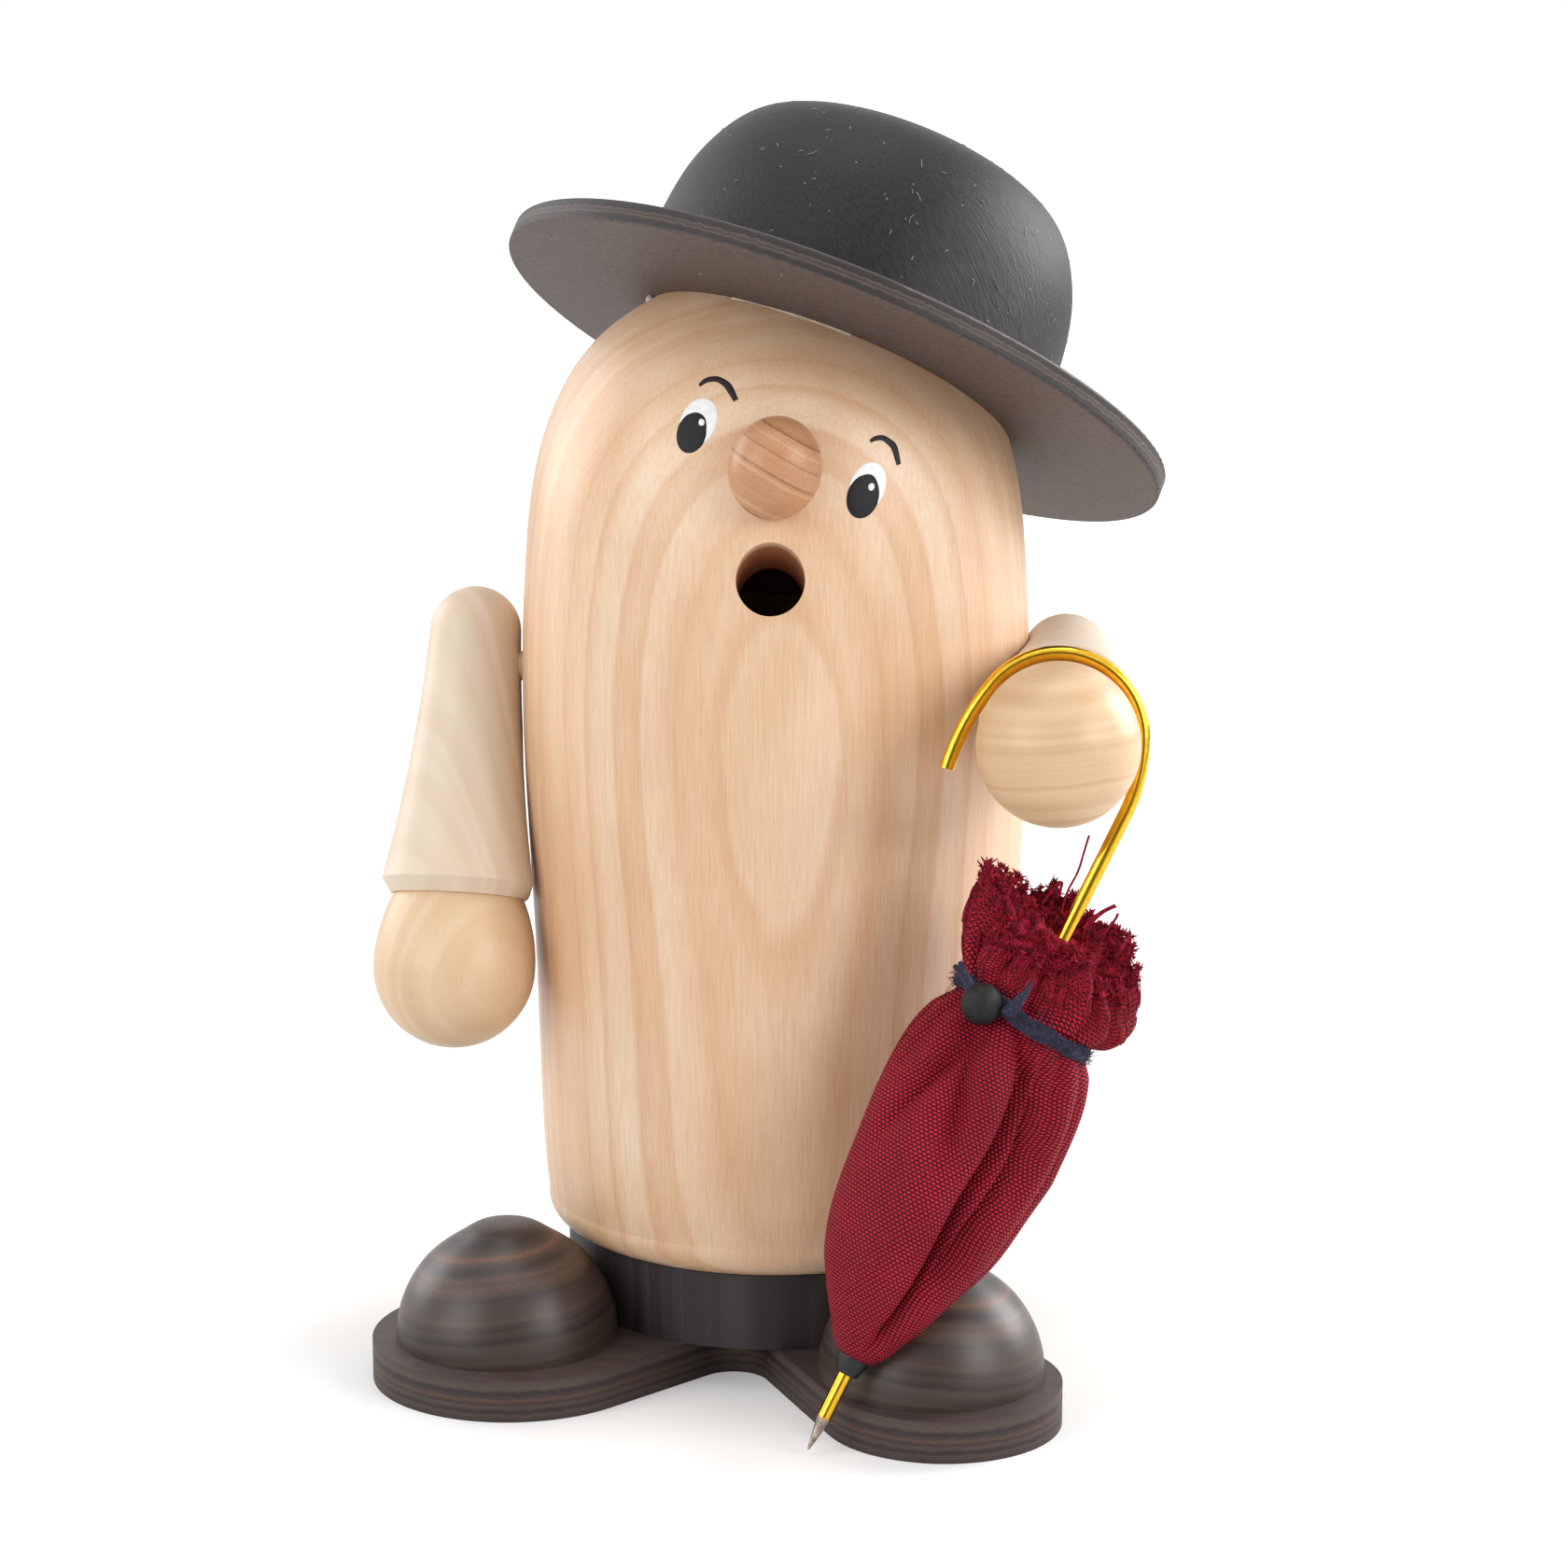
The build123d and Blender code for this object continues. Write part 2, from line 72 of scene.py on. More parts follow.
# The hat's own frame: the middle of the brim's underside and the hat's axis
BRIM_CENTRE = Vector((7.5, 5.4, 131.4))
HAT_AXIS = Vector((0.42, 0.37, 1.0)).normalized()
BRIM_THICKNESS = 3.0

SOLE_THICKNESS = 5.6


# Materials

def colour(code):
    """A hex colour as linear light."""
    parts = [int(code[i:i + 2], 16) / 255 for i in (1, 3, 5)]
    return (*[c / 12.92 if c <= 0.04045 else ((c + 0.055) / 1.055) ** 2.4 for c in parts], 1.0)


def add(owner, kind, sockets=(), stops=(), **settings):
    """Adds a node. Its sockets are named or numbered, or given in a row from the first.

    A socket takes a value, another node or one of its outputs. Stops fill a colour ramp.
    A Mix has a share and two colours, and a MapRange a value, the range read and the range given."""
    tree = owner.node_tree
    made = tree.nodes.new("ShaderNode" + kind)
    if kind == "Mix":
        made.data_type = "RGBA"
    for name, value in settings.items():
        setattr(made, name, value)
    if not isinstance(sockets, dict):
        numbers = (0, 6, 7) if kind == "Mix" else range(len(sockets))
        sockets = dict(zip(numbers, sockets))
    for socket, value in sockets.items():
        if isinstance(value, bpy.types.Node):
            value = value.outputs[2 if value.bl_idname == "ShaderNodeMix" else 0]
        if isinstance(value, bpy.types.NodeSocket):
            tree.links.new(value, made.inputs[socket])
        else:
            made.inputs[socket].default_value = value
    for i, (place, tone) in enumerate(stops):
        elements = made.color_ramp.elements
        element = elements[i] if i < 2 else elements.new(place)
        element.position = place
        element.color = colour(tone) if isinstance(tone, str) else (tone, tone, tone, 1.0)
    return made


def material(name):
    """An empty material of nodes."""
    made = bpy.data.materials.new(name)
    made.use_nodes = True
    made.node_tree.nodes.clear()
    return made


def place_in_mm(made):
    """The place on the piece in millimetres, which most patterns are read from."""
    place = add(made, "TexCoord").outputs["Object"]
    return add(made, "Mapping", {"Vector": place, "Scale": (1000, 1000, 1000)})


def stretched(made, kind, place, per_mm, **sockets):
    """A texture read from a stretched place. Per_mm counts its features along each axis."""
    place = add(made, "Mapping", {"Vector": place, "Scale": per_mm})
    return add(made, kind, {"Vector": place, "Scale": 1.0, **sockets})


def from_axis(made, side, back):
    """How far a place is from an upright axis."""
    flat = add(made, "CombineXYZ", [side, back])
    return add(made, "VectorMath", [flat], operation="LENGTH").outputs["Value"]


def finished(made, sockets, height=None, strength=0.0, depth_mm=0.0):
    """Ends a material with its shader. A height gives it a relief, depth_mm deep."""
    if height:
        relief = add(made, "Bump", {"Height": height, "Strength": strength, "Distance": depth_mm * MM})
        sockets = {**sockets, "Normal": relief}
    shader = add(made, "BsdfPrincipled", sockets)
    add(made, "OutputMaterial", {"Surface": shader})
    return made


def turned_wood(name, tones, pith, lean=(0.0, 0.0, 0.0), ring=1.6, fibre=0.10, pores=0.0,
                roughness=0.5, coat=0.0, rings_kept=(0.3, 0.7), fibre_length=9.0):
    """Wood cut from a log whose pith passes through a place, leaning as given: rings, fibres and pores.

    Tones run from the latest, darkest wood of a ring to the palest. Lengths are in millimetres."""
    waves_per_mm = (0.05, 0.05, 0.02)
    ring_sway = 2.0
    fibres_per_mm = (4.0, 4.0, 1.0 / fibre_length)
    pores_per_mm = (3.2, 3.2, 0.55)
    pore_core, pore_rim = 0.12, 0.24
    made = material(name)
    log = add(made, "VectorMath", [place_in_mm(made), pith], operation="SUBTRACT")
    log = add(made, "VectorRotate", {"Vector": log, "Rotation": [radians(v) for v in lean]},
              rotation_type="EULER_XYZ")
    broad = stretched(made, "TexNoise", log, waves_per_mm, Detail=2.0)
    split = add(made, "SeparateXYZ", [log])
    reach = from_axis(made, split.outputs[0], split.outputs[1])
    reach = add(made, "Math", [broad, ring_sway, reach], operation="MULTIPLY_ADD")
    count = add(made, "Math", [reach, 1.0 / ring], operation="MULTIPLY")
    rings = add(made, "TexNoise", {"W": count, "Scale": 1.0, "Detail": 2.0, "Roughness": 0.55},
                noise_dimensions="1D")
    fibres = stretched(made, "TexNoise", log, fibres_per_mm, Detail=3.0, Roughness=0.6)
    tone = add(made, "MapRange", [rings, *rings_kept])
    tone = add(made, "Math", [fibres, fibre, tone], operation="MULTIPLY_ADD")
    tone = add(made, "Math", [tone, fibre * 0.5], operation="SUBTRACT")
    even_steps = [(i / (len(tones) - 1), code) for i, code in enumerate(tones)]
    wood = add(made, "ValToRGB", [tone], stops=even_steps)
    if pores:
        cells = stretched(made, "TexVoronoi", log, pores_per_mm)
        open_pore = add(made, "MapRange", [cells, pore_core, pore_rim, pores, 0.0])
        wood = add(made, "Mix", [open_pore, wood, colour(tones[0])], blend_type="MULTIPLY")
    sheen = add(made, "MapRange", [fibres, 0.3, 0.7, roughness - 0.05, roughness + 0.07])
    return finished(made, {"Base Color": wood, "Roughness": sheen, "IOR": 1.48, "Coat Weight": coat,
                           "Coat Roughness": 0.35}, height=fibres, strength=0.25, depth_mm=0.06)


def limewood_barrel():
    """Lime wood, turned, sanded and waxed: nested ovals where the lathe cut through a log's outer rings.

    The pith stands behind the body, so the rings are read as depth below the belly's foremost line."""
    made = material("limewood_turned_waxed")
    pith_side, pith_back, belly, belly_height = -1.5, 85.0, 34.3, 91.6
    ring_tilt, ring_span, ring_sway = -0.0104, 16.0, 0.5
    rings_per_mm = 0.55
    chance_rings_from, drawn_rings_to = -15.0, -12.0
    ring_contrast_lost, fibre_contrast = 0.36, 0.55
    log = place_in_mm(made)
    broad = stretched(made, "TexNoise", log, (0.06, 0.06, 0.025), Detail=3.0, Roughness=0.55)
    split = add(made, "SeparateXYZ", [log])
    side = add(made, "Math", [split.outputs[0], pith_side], operation="SUBTRACT")
    back = add(made, "Math", [split.outputs[1], pith_back], operation="SUBTRACT")
    foremost = pith_back + belly + ring_tilt * belly_height + ring_sway / 2
    depth = add(made, "Math", [from_axis(made, side, back), foremost], operation="SUBTRACT")
    depth = add(made, "Math", [split.outputs[2], ring_tilt, depth], operation="MULTIPLY_ADD")
    depth = add(made, "Math", [broad, ring_sway, depth], operation="MULTIPLY_ADD")
    share = add(made, "MapRange", [depth, -ring_span, 0.0])
    late, mid, soft, pale, palest = "#DEB48C", "#E6C19D", "#EACAAA", "#EDD1B4", "#F0D8BE"
    # the rings that show on the belly, from the deepest to the foremost
    front = add(made, "ValToRGB", [share], stops=[
        (0.0, mid), (1.0, soft), (0.19, pale), (0.325, mid), (0.335, late), (0.36, mid), (0.48, pale),
        (0.50, late), (0.535, soft), (0.57, palest), (0.65, palest), (0.672, late), (0.72, mid),
        (0.768, late), (0.782, pale), (0.81, pale), (0.86, mid), (0.875, late), (0.90, mid), (0.937, soft),
        (0.945, mid), (0.959, late), (0.968, pale), (0.978, soft), (0.99, soft),
    ])
    count = add(made, "Math", [depth, rings_per_mm], operation="MULTIPLY")
    rings = add(made, "TexNoise", {"W": count, "Scale": 1.0, "Detail": 2.0}, noise_dimensions="1D")
    behind = add(made, "ValToRGB", [rings], stops=[(0.33, late), (0.68, pale), (0.45, mid), (0.56, soft)])
    turn = add(made, "MapRange", [depth, chance_rings_from, drawn_rings_to, 1.0, 0.0])
    wood = add(made, "Mix", [turn, front, behind])
    wood = add(made, "Mix", [ring_contrast_lost, wood, colour(soft)])
    clouds = stretched(made, "TexNoise", log, (0.09, 0.09, 0.035), Detail=2.0)
    cloud_tone = add(made, "ValToRGB", [clouds], stops=[(0.32, "#F4EADF"), (0.68, "#FFFFFF")])
    wood = add(made, "Mix", [1.0, wood, cloud_tone], blend_type="MULTIPLY")
    fibres = stretched(made, "TexNoise", log, (3.2, 3.2, 0.13), Detail=3.0, Roughness=0.65)
    fibre_tone = add(made, "ValToRGB", [fibres], stops=[(0.3, "#EADCCF"), (0.6, "#FFFFFF")])
    wood = add(made, "Mix", [fibre_contrast, wood, fibre_tone], blend_type="MULTIPLY")
    cells = stretched(made, "TexVoronoi", log, (2.6, 2.6, 0.7))
    pore = add(made, "MapRange", [cells, 0.10, 0.2, 0.18, 0.0])
    wood = add(made, "Mix", [pore, wood, colour("#A87848")])
    # painted shade: the wood inside the mouth's drilling, which lies inside the barrel's own radius, is mixed
    # towards a darker brown
    shade_radius_full, shade_radius_none = 31.2, 32.5
    sill, roof = (99.0, 99.5), (115.6, 116.4)
    radius = from_axis(made, split.outputs[0], split.outputs[1])
    inside = add(made, "MapRange", [radius, shade_radius_full, shade_radius_none, 1.0, 0.0])
    below_roof = add(made, "MapRange", [split.outputs[2], *roof, 1.0, 0.0])
    above_sill = add(made, "MapRange", [split.outputs[2], *sill])
    inside = add(made, "Math", [inside, below_roof], operation="MULTIPLY")
    inside = add(made, "Math", [inside, above_sill], operation="MULTIPLY")
    # painted shade in the recess of the mouth's drilling
    wood = add(made, "Mix", [inside, wood, colour("#A86C4C")])
    sheen = add(made, "MapRange", [fibres, 0.3, 0.7, 0.40, 0.52])
    return finished(made, {"Base Color": wood, "Roughness": sheen, "IOR": 1.48, "Coat Weight": 0.45,
                           "Coat Roughness": 0.33}, height=fibres, strength=0.18, depth_mm=0.05)


def plywood(name, faces, layers, axis, foot, thickness, roughness, grain_turn):
    """Stained plywood: its faces show stain over long fibres, its sawn edge shows the layers.

    Layers are stops from the lower face to the upper one, along an axis from a foot point."""
    layer_sway = 0.9
    made = material(name)
    sheet = place_in_mm(made)
    offset = add(made, "VectorMath", [sheet, foot], operation="SUBTRACT")
    height = add(made, "VectorMath", [offset, axis], operation="DOT_PRODUCT").outputs["Value"]
    ragged = add(made, "TexNoise", {"Vector": sheet, "Scale": 0.9, "Detail": 4.0, "Roughness": 0.7})
    layer = add(made, "Math", [ragged, layer_sway, height], operation="MULTIPLY_ADD")
    layer = add(made, "MapRange", [layer, layer_sway / 2, thickness + layer_sway / 2])
    edge = add(made, "ValToRGB", [layer], stops=layers)
    turned = add(made, "VectorRotate", {"Vector": offset, "Angle": radians(grain_turn), "Axis": axis},
                 rotation_type="AXIS_ANGLE")
    fibres = stretched(made, "TexNoise", turned, (0.12, 3.0, 3.0), Detail=4.0, Roughness=0.65)
    face = add(made, "ValToRGB", [fibres], stops=[(0.25, faces[0]), (0.75, faces[-1]), (0.5, faces[1])])
    # the sawn edge is where the surface stands square to the layers
    normal = add(made, "NewGeometry").outputs["Normal"]
    facing = add(made, "VectorMath", [normal, axis], operation="DOT_PRODUCT").outputs["Value"]
    facing = add(made, "Math", [facing], operation="ABSOLUTE")
    is_edge = add(made, "MapRange", [facing, 0.35, 0.75, 1.0, 0.0])
    wood = add(made, "Mix", [is_edge, face, edge])
    height_mix = add(made, "Math", [ragged, 0.6, fibres], operation="MULTIPLY_ADD")
    return finished(made, {"Base Color": wood, "Roughness": roughness, "IOR": 1.48},
                    height=height_mix, strength=0.45, depth_mm=0.12)


def stained_crown():
    """Beech, turned and stained charcoal, matt, with pale specks caught in the stain.

    Its raised fibres run steeply, so that they streak the shine on its side."""
    fibre_lean = (0.0, radians(-65), 0.0)
    fibres_per_mm = (0.28, 2.8, 2.8)
    made = material("beech_turned_charcoal_stain")
    log = place_in_mm(made)
    steep = add(made, "VectorRotate", {"Vector": log, "Rotation": fibre_lean}, rotation_type="EULER_XYZ")
    fibres = stretched(made, "TexNoise", steep, fibres_per_mm, Detail=4.0, Roughness=0.7)
    stain = add(made, "ValToRGB", [fibres], stops=[(0.3, "#131216"), (0.72, "#2E2C31")])
    cells = add(made, "TexVoronoi", {"Vector": log, "Scale": 0.42})
    speck = add(made, "MapRange", [cells, 0.035, 0.075, 0.55, 0.0])
    dusty = add(made, "Mix", [speck, stain, colour("#A9A3A0")])
    return finished(made, {"Base Color": dusty, "Roughness": 0.44, "IOR": 1.5, "Specular IOR Level": 0.27},
                    height=fibres, strength=0.8, depth_mm=0.14)


def lacquered_brass():
    """Brass wire, drawn and lacquered golden, ground bare to a dull point at the tip."""
    point_end, lacquer_start = 4.2, 4.8
    made = material("brass_wire_lacquered")
    wire = place_in_mm(made)
    offset = add(made, "VectorMath", [wire, TIP], operation="SUBTRACT")
    up = add(made, "VectorMath", [offset, ALONG], operation="DOT_PRODUCT").outputs["Value"]
    bare = add(made, "MapRange", [up, point_end, lacquer_start, 1.0, 0.0])
    scratches = add(made, "TexNoise", {"Vector": wire, "Scale": 1.4, "Detail": 4.0})
    ground = add(made, "ValToRGB", [scratches], stops=[(0.35, "#8F8074"), (0.65, "#C9BDAF")])
    gold = add(made, "ValToRGB", [scratches], stops=[(0.3, "#F2B62C"), (0.7, "#F9CC45")])
    metal = add(made, "Mix", [bare, gold, ground])
    finish = add(made, "MapRange", [bare, 0.0, 1.0, 0.13, 0.38])
    return finished(made, {"Base Color": metal, "Metallic": 1.0, "Roughness": finish})


def ribbed_cotton():
    """Crimson cotton in a coarse rib weave: bricks of bright float threads between dark gaps.

    Read from the cloth's own map, which is in millimetres of cloth."""
    made = material("cotton_rib_weave_crimson")
    float_length, row_height, thread_sway = 0.68, 0.47, 0.16
    hairs_per_m, worn_spots_per_m = 2600.0, 90.0
    cloth = add(made, "UVMap", uv_map="cloth_mm")
    object_place = add(made, "TexCoord").outputs["Object"]
    sway = add(made, "TexNoise", {"Vector": cloth, "Scale": 0.9, "Detail": 2.0})
    sway = add(made, "Math", [sway, thread_sway, -thread_sway / 2], operation="MULTIPLY_ADD")
    split = add(made, "SeparateXYZ", [cloth])
    row = add(made, "Math", [split.outputs[1], 1.0 / row_height, sway], operation="MULTIPLY_ADD")
    count = add(made, "Math", [row], operation="FLOOR")
    odd = add(made, "Math", [count, 2.0], operation="FLOORED_MODULO")
    column = add(made, "Math", [split.outputs[0], 1.0 / float_length, sway], operation="MULTIPLY_ADD")
    column = add(made, "Math", [odd, 0.5, column], operation="MULTIPLY_ADD")
    # from the middle of a float, minus 1 to 1 along it and across it
    across = add(made, "Math", [column], operation="FRACT")
    across = add(made, "Math", [across, 2.0, -1.0], operation="MULTIPLY_ADD")
    up = add(made, "Math", [row], operation="FRACT")
    up = add(made, "Math", [up, 2.0, -1.0], operation="MULTIPLY_ADD")
    across = add(made, "Math", [across, across], operation="MULTIPLY")
    reach = add(made, "Math", [up, up, across], operation="MULTIPLY_ADD")
    crest = add(made, "MapRange", [reach, 0.0, 1.25, 1.0, 0.0])
    yarn = add(made, "TexNoise", {"Vector": object_place, "Scale": hairs_per_m, "Detail": 2.0})
    tone = add(made, "Math", [yarn, 0.35, crest], operation="MULTIPLY_ADD")
    thread = add(made, "ValToRGB", [tone], stops=[
        (0.12, "#1E0207"), (1.0, "#D8213F"), (0.40, "#5C0817"), (0.68, "#9C1029"),
    ])
    broad = add(made, "TexNoise", {"Vector": object_place, "Scale": worn_spots_per_m, "Detail": 2.0})
    wear = add(made, "ValToRGB", [broad], stops=[(0.3, "#E4D8DA"), (0.7, "#FFFFFF")])
    thread = add(made, "Mix", [1.0, thread, wear], blend_type="MULTIPLY")
    height = add(made, "Math", [yarn, 0.25, crest], operation="MULTIPLY_ADD")
    return finished(made, {
        "Base Color": thread, "Roughness": 0.6, "Specular IOR Level": 0.22,
        "Sheen Weight": 0.04, "Sheen Roughness": 0.45, "Sheen Tint": colour("#E8506A"),
    }, height=height, strength=1.0, depth_mm=0.36)


def frayed_cotton():
    """Loose crimson yarn ends, brighter and darker by the tuft."""
    tufts_per_m = 900.0
    made = material("cotton_frayed_crimson")
    place = add(made, "TexCoord").outputs["Object"]
    tufts = add(made, "TexNoise", {"Vector": place, "Scale": tufts_per_m, "Detail": 3.0, "Roughness": 0.7})
    yarn = add(made, "ValToRGB", [tufts], stops=[(0.3, "#38060F"), (0.7, "#BC2340"), (0.5, "#8A1228")])
    return finished(made, {
        "Base Color": yarn, "Roughness": 0.75, "Specular IOR Level": 0.2,
        "Sheen Weight": 0.1, "Sheen Roughness": 0.5, "Sheen Tint": colour("#E8506A"),
    })


def navy_yarn():
    """Soft navy wool yarn with a felted surface and a few pale hairs."""
    hairs_per_m = 2400.0
    made = material("wool_yarn_navy")
    place = add(made, "TexCoord").outputs["Object"]
    felt = add(made, "TexNoise", {"Vector": place, "Scale": hairs_per_m, "Detail": 4.0, "Roughness": 0.75})
    yarn = add(made, "ValToRGB", [felt], stops=[(0.3, "#0D0D20"), (0.78, "#5C5F80"), (0.56, "#1F203C")])
    return finished(made, {
        "Base Color": yarn, "Roughness": 0.8,
        "Sheen Weight": 0.15, "Sheen Roughness": 0.4, "Sheen Tint": colour("#B8BCD4"),
    }, height=felt, strength=0.9, depth_mm=0.2)


def plain_finish(name, code, other, grit, roughness, bump, specular=0.5):
    """An even finish that changes a little in tone, with a fine grit whose size is in millimetres."""
    made = material(name)
    place = add(made, "TexCoord").outputs["Object"]
    fine = add(made, "TexNoise", {"Vector": place, "Scale": 1000.0 / grit, "Detail": 3.0})
    tone = add(made, "ValToRGB", [fine], stops=[(0.35, code), (0.65, other)])
    return finished(made, {"Base Color": tone, "Roughness": roughness, "Specular IOR Level": specular},
                    height=fine, strength=bump, depth_mm=0.05)


def finish_nodes():
    """Every carried-over piece gets the finish of what it is made of."""
    sleeve = turned_wood(
        "limewood_turned_pale", ["#D8C3AA", "#DBC8B0", "#DFCDB7"], (30.0, 60.0, 0.0),
        ring=2.6, fibre=0.25, pores=0.05, coat=0.25,
    )
    left_hand = turned_wood(
        "limewood_hand_upright_grain", ["#D8B891", "#DCBD98", "#E0C4A1"], (-75.0, 30.0, 0.0),
        ring=2.2, fibre=0.6, pores=0.34, roughness=0.45, coat=0.3,
    )
    right_hand = turned_wood(
        "limewood_hand_level_grain", ["#D0AB82", "#D8B58D", "#DDBD97"], (35.0, 0.0, 20.0),
        lean=(90.0, 8.0, 0.0), ring=1.5, fibre=0.45, pores=0.34, roughness=0.42, coat=0.3,
    )
    nose = turned_wood(
        "alder_bead_oiled", ["#8A5A3C", "#B8845D", "#C28E67", "#C08A63", "#CB9C77"], (75.0, 0.0, 254.0),
        lean=(90.0, 0.0, 0.0), ring=1.3, fibre=0.5, pores=0.6, roughness=0.42, coat=0.15,
        rings_kept=(0.28, 0.66), fibre_length=2.0,
    )
    shoes = turned_wood(
        "beech_turned_dark_stain",
        ["#271D1A", "#2E2320", "#352923", "#3C2E28", "#41322B", "#46362E", "#4A382F", "#644638"],
        (-10.0, 0.0, -300.0), lean=(90.0, 0.0, 4.0), ring=2.2, fibre=0.5, pores=0.5, roughness=0.40,
        coat=0.15, rings_kept=(0.30, 0.72), fibre_length=3.0,
    )
    collar = turned_wood(
        "beech_collar_black_stain", ["#251D1D", "#302828", "#3A3231"], (0.0, 60.0, 0.0),
        ring=0.7, fibre=1.2, pores=0.2, roughness=0.55, fibre_length=14.0,
    )
    dowel = turned_wood("beech_dowel_bare", ["#C69B6F", "#D9B48A", "#E6C8A4"], (0.0, 20.0, 0.0), ring=1.2)
    brim = plywood(
        "plywood_brim_charcoal_stain", ("#3C3330", "#564A46", "#6F615B"),
        [(0.0, "#4A3F3C"), (0.15, "#231D1D"), (0.34, "#2B2524"), (0.40, "#5A4A42"), (0.48, "#302827"),
         (0.60, "#55463F"), (0.66, "#1F1B1B"), (0.84, "#2A2625"), (1.0, "#3C3735")],
        HAT_AXIS, BRIM_CENTRE, BRIM_THICKNESS, 0.55, 24.0,
    )
    sole = plywood(
        "plywood_sole_dark_stain", ("#332927", "#483B39", "#5C4D48"),
        [(0.0, "#372C2A"), (0.18, "#4A3B36"), (0.24, "#231B1A"), (0.36, "#4E3F39"), (0.44, "#332826"),
         (0.52, "#58402F"), (0.58, "#3E3130"), (0.70, "#261E1D"), (0.80, "#52433C"), (1.0, "#423633")],
        (0.0, 0.0, 1.0), (0.0, 0.0, 0.0), SOLE_THICKNESS, 0.5, 15.0,
    )
    finishes = {
        "body": limewood_barrel(), "nose": nose, "sleeve_left": sleeve, "sleeve_right": sleeve,
        "hand_left": left_hand, "hand_right": right_hand, "hat_brim": brim, "hat_crown": stained_crown(),
        "shoe_left": shoes, "shoe_right": shoes, "base_block": collar, "foot_plate": sole,
        "umbrella_wire": lacquered_brass(),
        "umbrella_bead": plain_finish("wood_bead_black_matt", "#0C0B0B", "#1D1C1B", 0.6, 0.6, 0.4,
                                      specular=0.35),
        "umbrella_ferrule": plain_finish("polyethylene_cap_black", "#0E0D0E", "#1B1A1B", 0.8, 0.45, 0.3),
        "incense_plate": plain_finish("brass_dish_pressed", "#A98B52", "#C2A468", 1.5, 0.4, 0.3),
        "plate_pin": plain_finish("brass_pin_turned", "#A98B52", "#C2A468", 1.5, 0.35, 0.2),
    }
    for name, node in nodes.items():
        finish = finishes.get(name, dowel if "dowel" in name else None)
        if finish:
            for slot in node.material_slots:
                slot.material = finish


# Shapes

def new_object(name, data):
    """An object of its data, in the scene."""
    made = bpy.data.objects.new(name, data)
    bpy.context.scene.collection.objects.link(made)
    return made


def hang(name, mesh, finish, body):
    """Makes a smooth shaded piece of a mesh and hangs it on its body."""
    mesh.materials.clear()
    mesh.materials.append(finish)
    for face in mesh.polygons:
        face.use_smooth = True
    made = new_object(name, mesh)
    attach(made, body)
    return made


def new_piece(name, bm, finish, body):
    """A piece from its finished bmesh."""
    mesh = bpy.data.meshes.new(name)
    bm.to_mesh(mesh)
    bm.free()
    return hang(name, mesh, finish, body)


def threads_piece(name, paths, finish, body, sides=1, steps=3):
    """Fine threads from paths of (point, radius) in millimetres, as one mesh of thin tubes."""
    curve = bpy.data.curves.new(name, "CURVE")
    curve.dimensions = "3D"
    curve.bevel_depth = MM
    curve.bevel_resolution = sides
    curve.resolution_u = steps
    curve.use_fill_caps = True
    for path in paths:
        spline = curve.splines.new("NURBS")
        spline.points.add(len(path) - 1)
        for point, (place, radius) in zip(spline.points, path):
            point.co = (*(place * MM), 1.0)
            point.radius = radius
        spline.order_u = 3
        spline.use_endpoint_u = True
    holder = new_object(name + "_path", curve)
    bpy.context.view_layer.update()
    mesh = bpy.data.meshes.new_from_object(holder)
    bpy.data.objects.remove(holder)
    return hang(name, mesh, finish, body)


def between(rows, at):
    """The values at a place between rows of (place, value, ...), along smooth curves through them."""
    if at <= rows[0][0]:
        return rows[0][1:]
    if at >= rows[-1][0]:
        return rows[-1][1:]
    i = max(k for k in range(len(rows) - 1) if rows[k][0] <= at)
    before, start, end, after = rows[max(i - 1, 0)], rows[i], rows[i + 1], rows[min(i + 2, len(rows) - 1)]
    span = end[0] - start[0]
    t = (at - start[0]) / span
    values = []
    for k in range(1, len(start)):
        slope_in = (end[k] - before[k]) / (end[0] - before[0]) * span
        slope_out = (after[k] - start[k]) / (after[0] - start[0]) * span
        values.append(
            (2 * t**3 - 3 * t**2 + 1) * start[k] + (t**3 - 2 * t**2 + t) * slope_in
            + (3 * t**2 - 2 * t**3) * end[k] + (t**3 - t**2) * slope_out
        )
    return values


def surface_of(name):
    """A node's surface, to place small things on."""
    mesh = nodes[name].data
    return BVHTree.FromPolygons([v.co for v in mesh.vertices], [p.vertices for p in mesh.polygons])


# Painted face, laid on the barrel

def on_barrel(surface, side, height, proud):
    """The point of the barrel at a distance round from its front and a height, standing proud of it."""
    girth, outside = 32.0, 60.0
    out = Vector((sin(side / girth), -cos(side / girth), 0.0))
    for _ in range(3):
        place, normal, _, _ = surface.ray_cast((out * outside + Vector((0, 0, height))) * MM, -out)
        radius = Vector((place.x, place.y, 0)).length / MM
        out = Vector((sin(side / radius), -cos(side / radius), 0.0))
    if normal.dot(out) < 0:
        normal = -normal
    return place + normal * proud * MM


def painted_oval(surface, name, centre, half_width, half_height, lean, proud, finish):
    """A drop of paint with a rounded rim, laid on the barrel."""
    rim_share = 0.15
    bm = bmesh.new()
    bmesh.ops.create_circle(bm, cap_ends=True, radius=1.0, segments=40)
    for inset in (0.072, 0.3):
        face = max(bm.faces, key=lambda f: len(f.verts))
        bmesh.ops.inset_individual(bm, faces=[face], thickness=inset)
    lean = radians(lean)
    for vert in bm.verts:
        x, y = vert.co.x * half_width, vert.co.y * half_height
        rise = 1.0 - min(vert.co.length, 1.0) ** 8
        side = centre[0] + x * cos(lean) + y * sin(lean)
        height = centre[1] - x * sin(lean) + y * cos(lean)
        vert.co = on_barrel(surface, side, height, proud * (rim_share + (1 - rim_share) * rise))
    return new_piece(name, bm, finish, "figure")


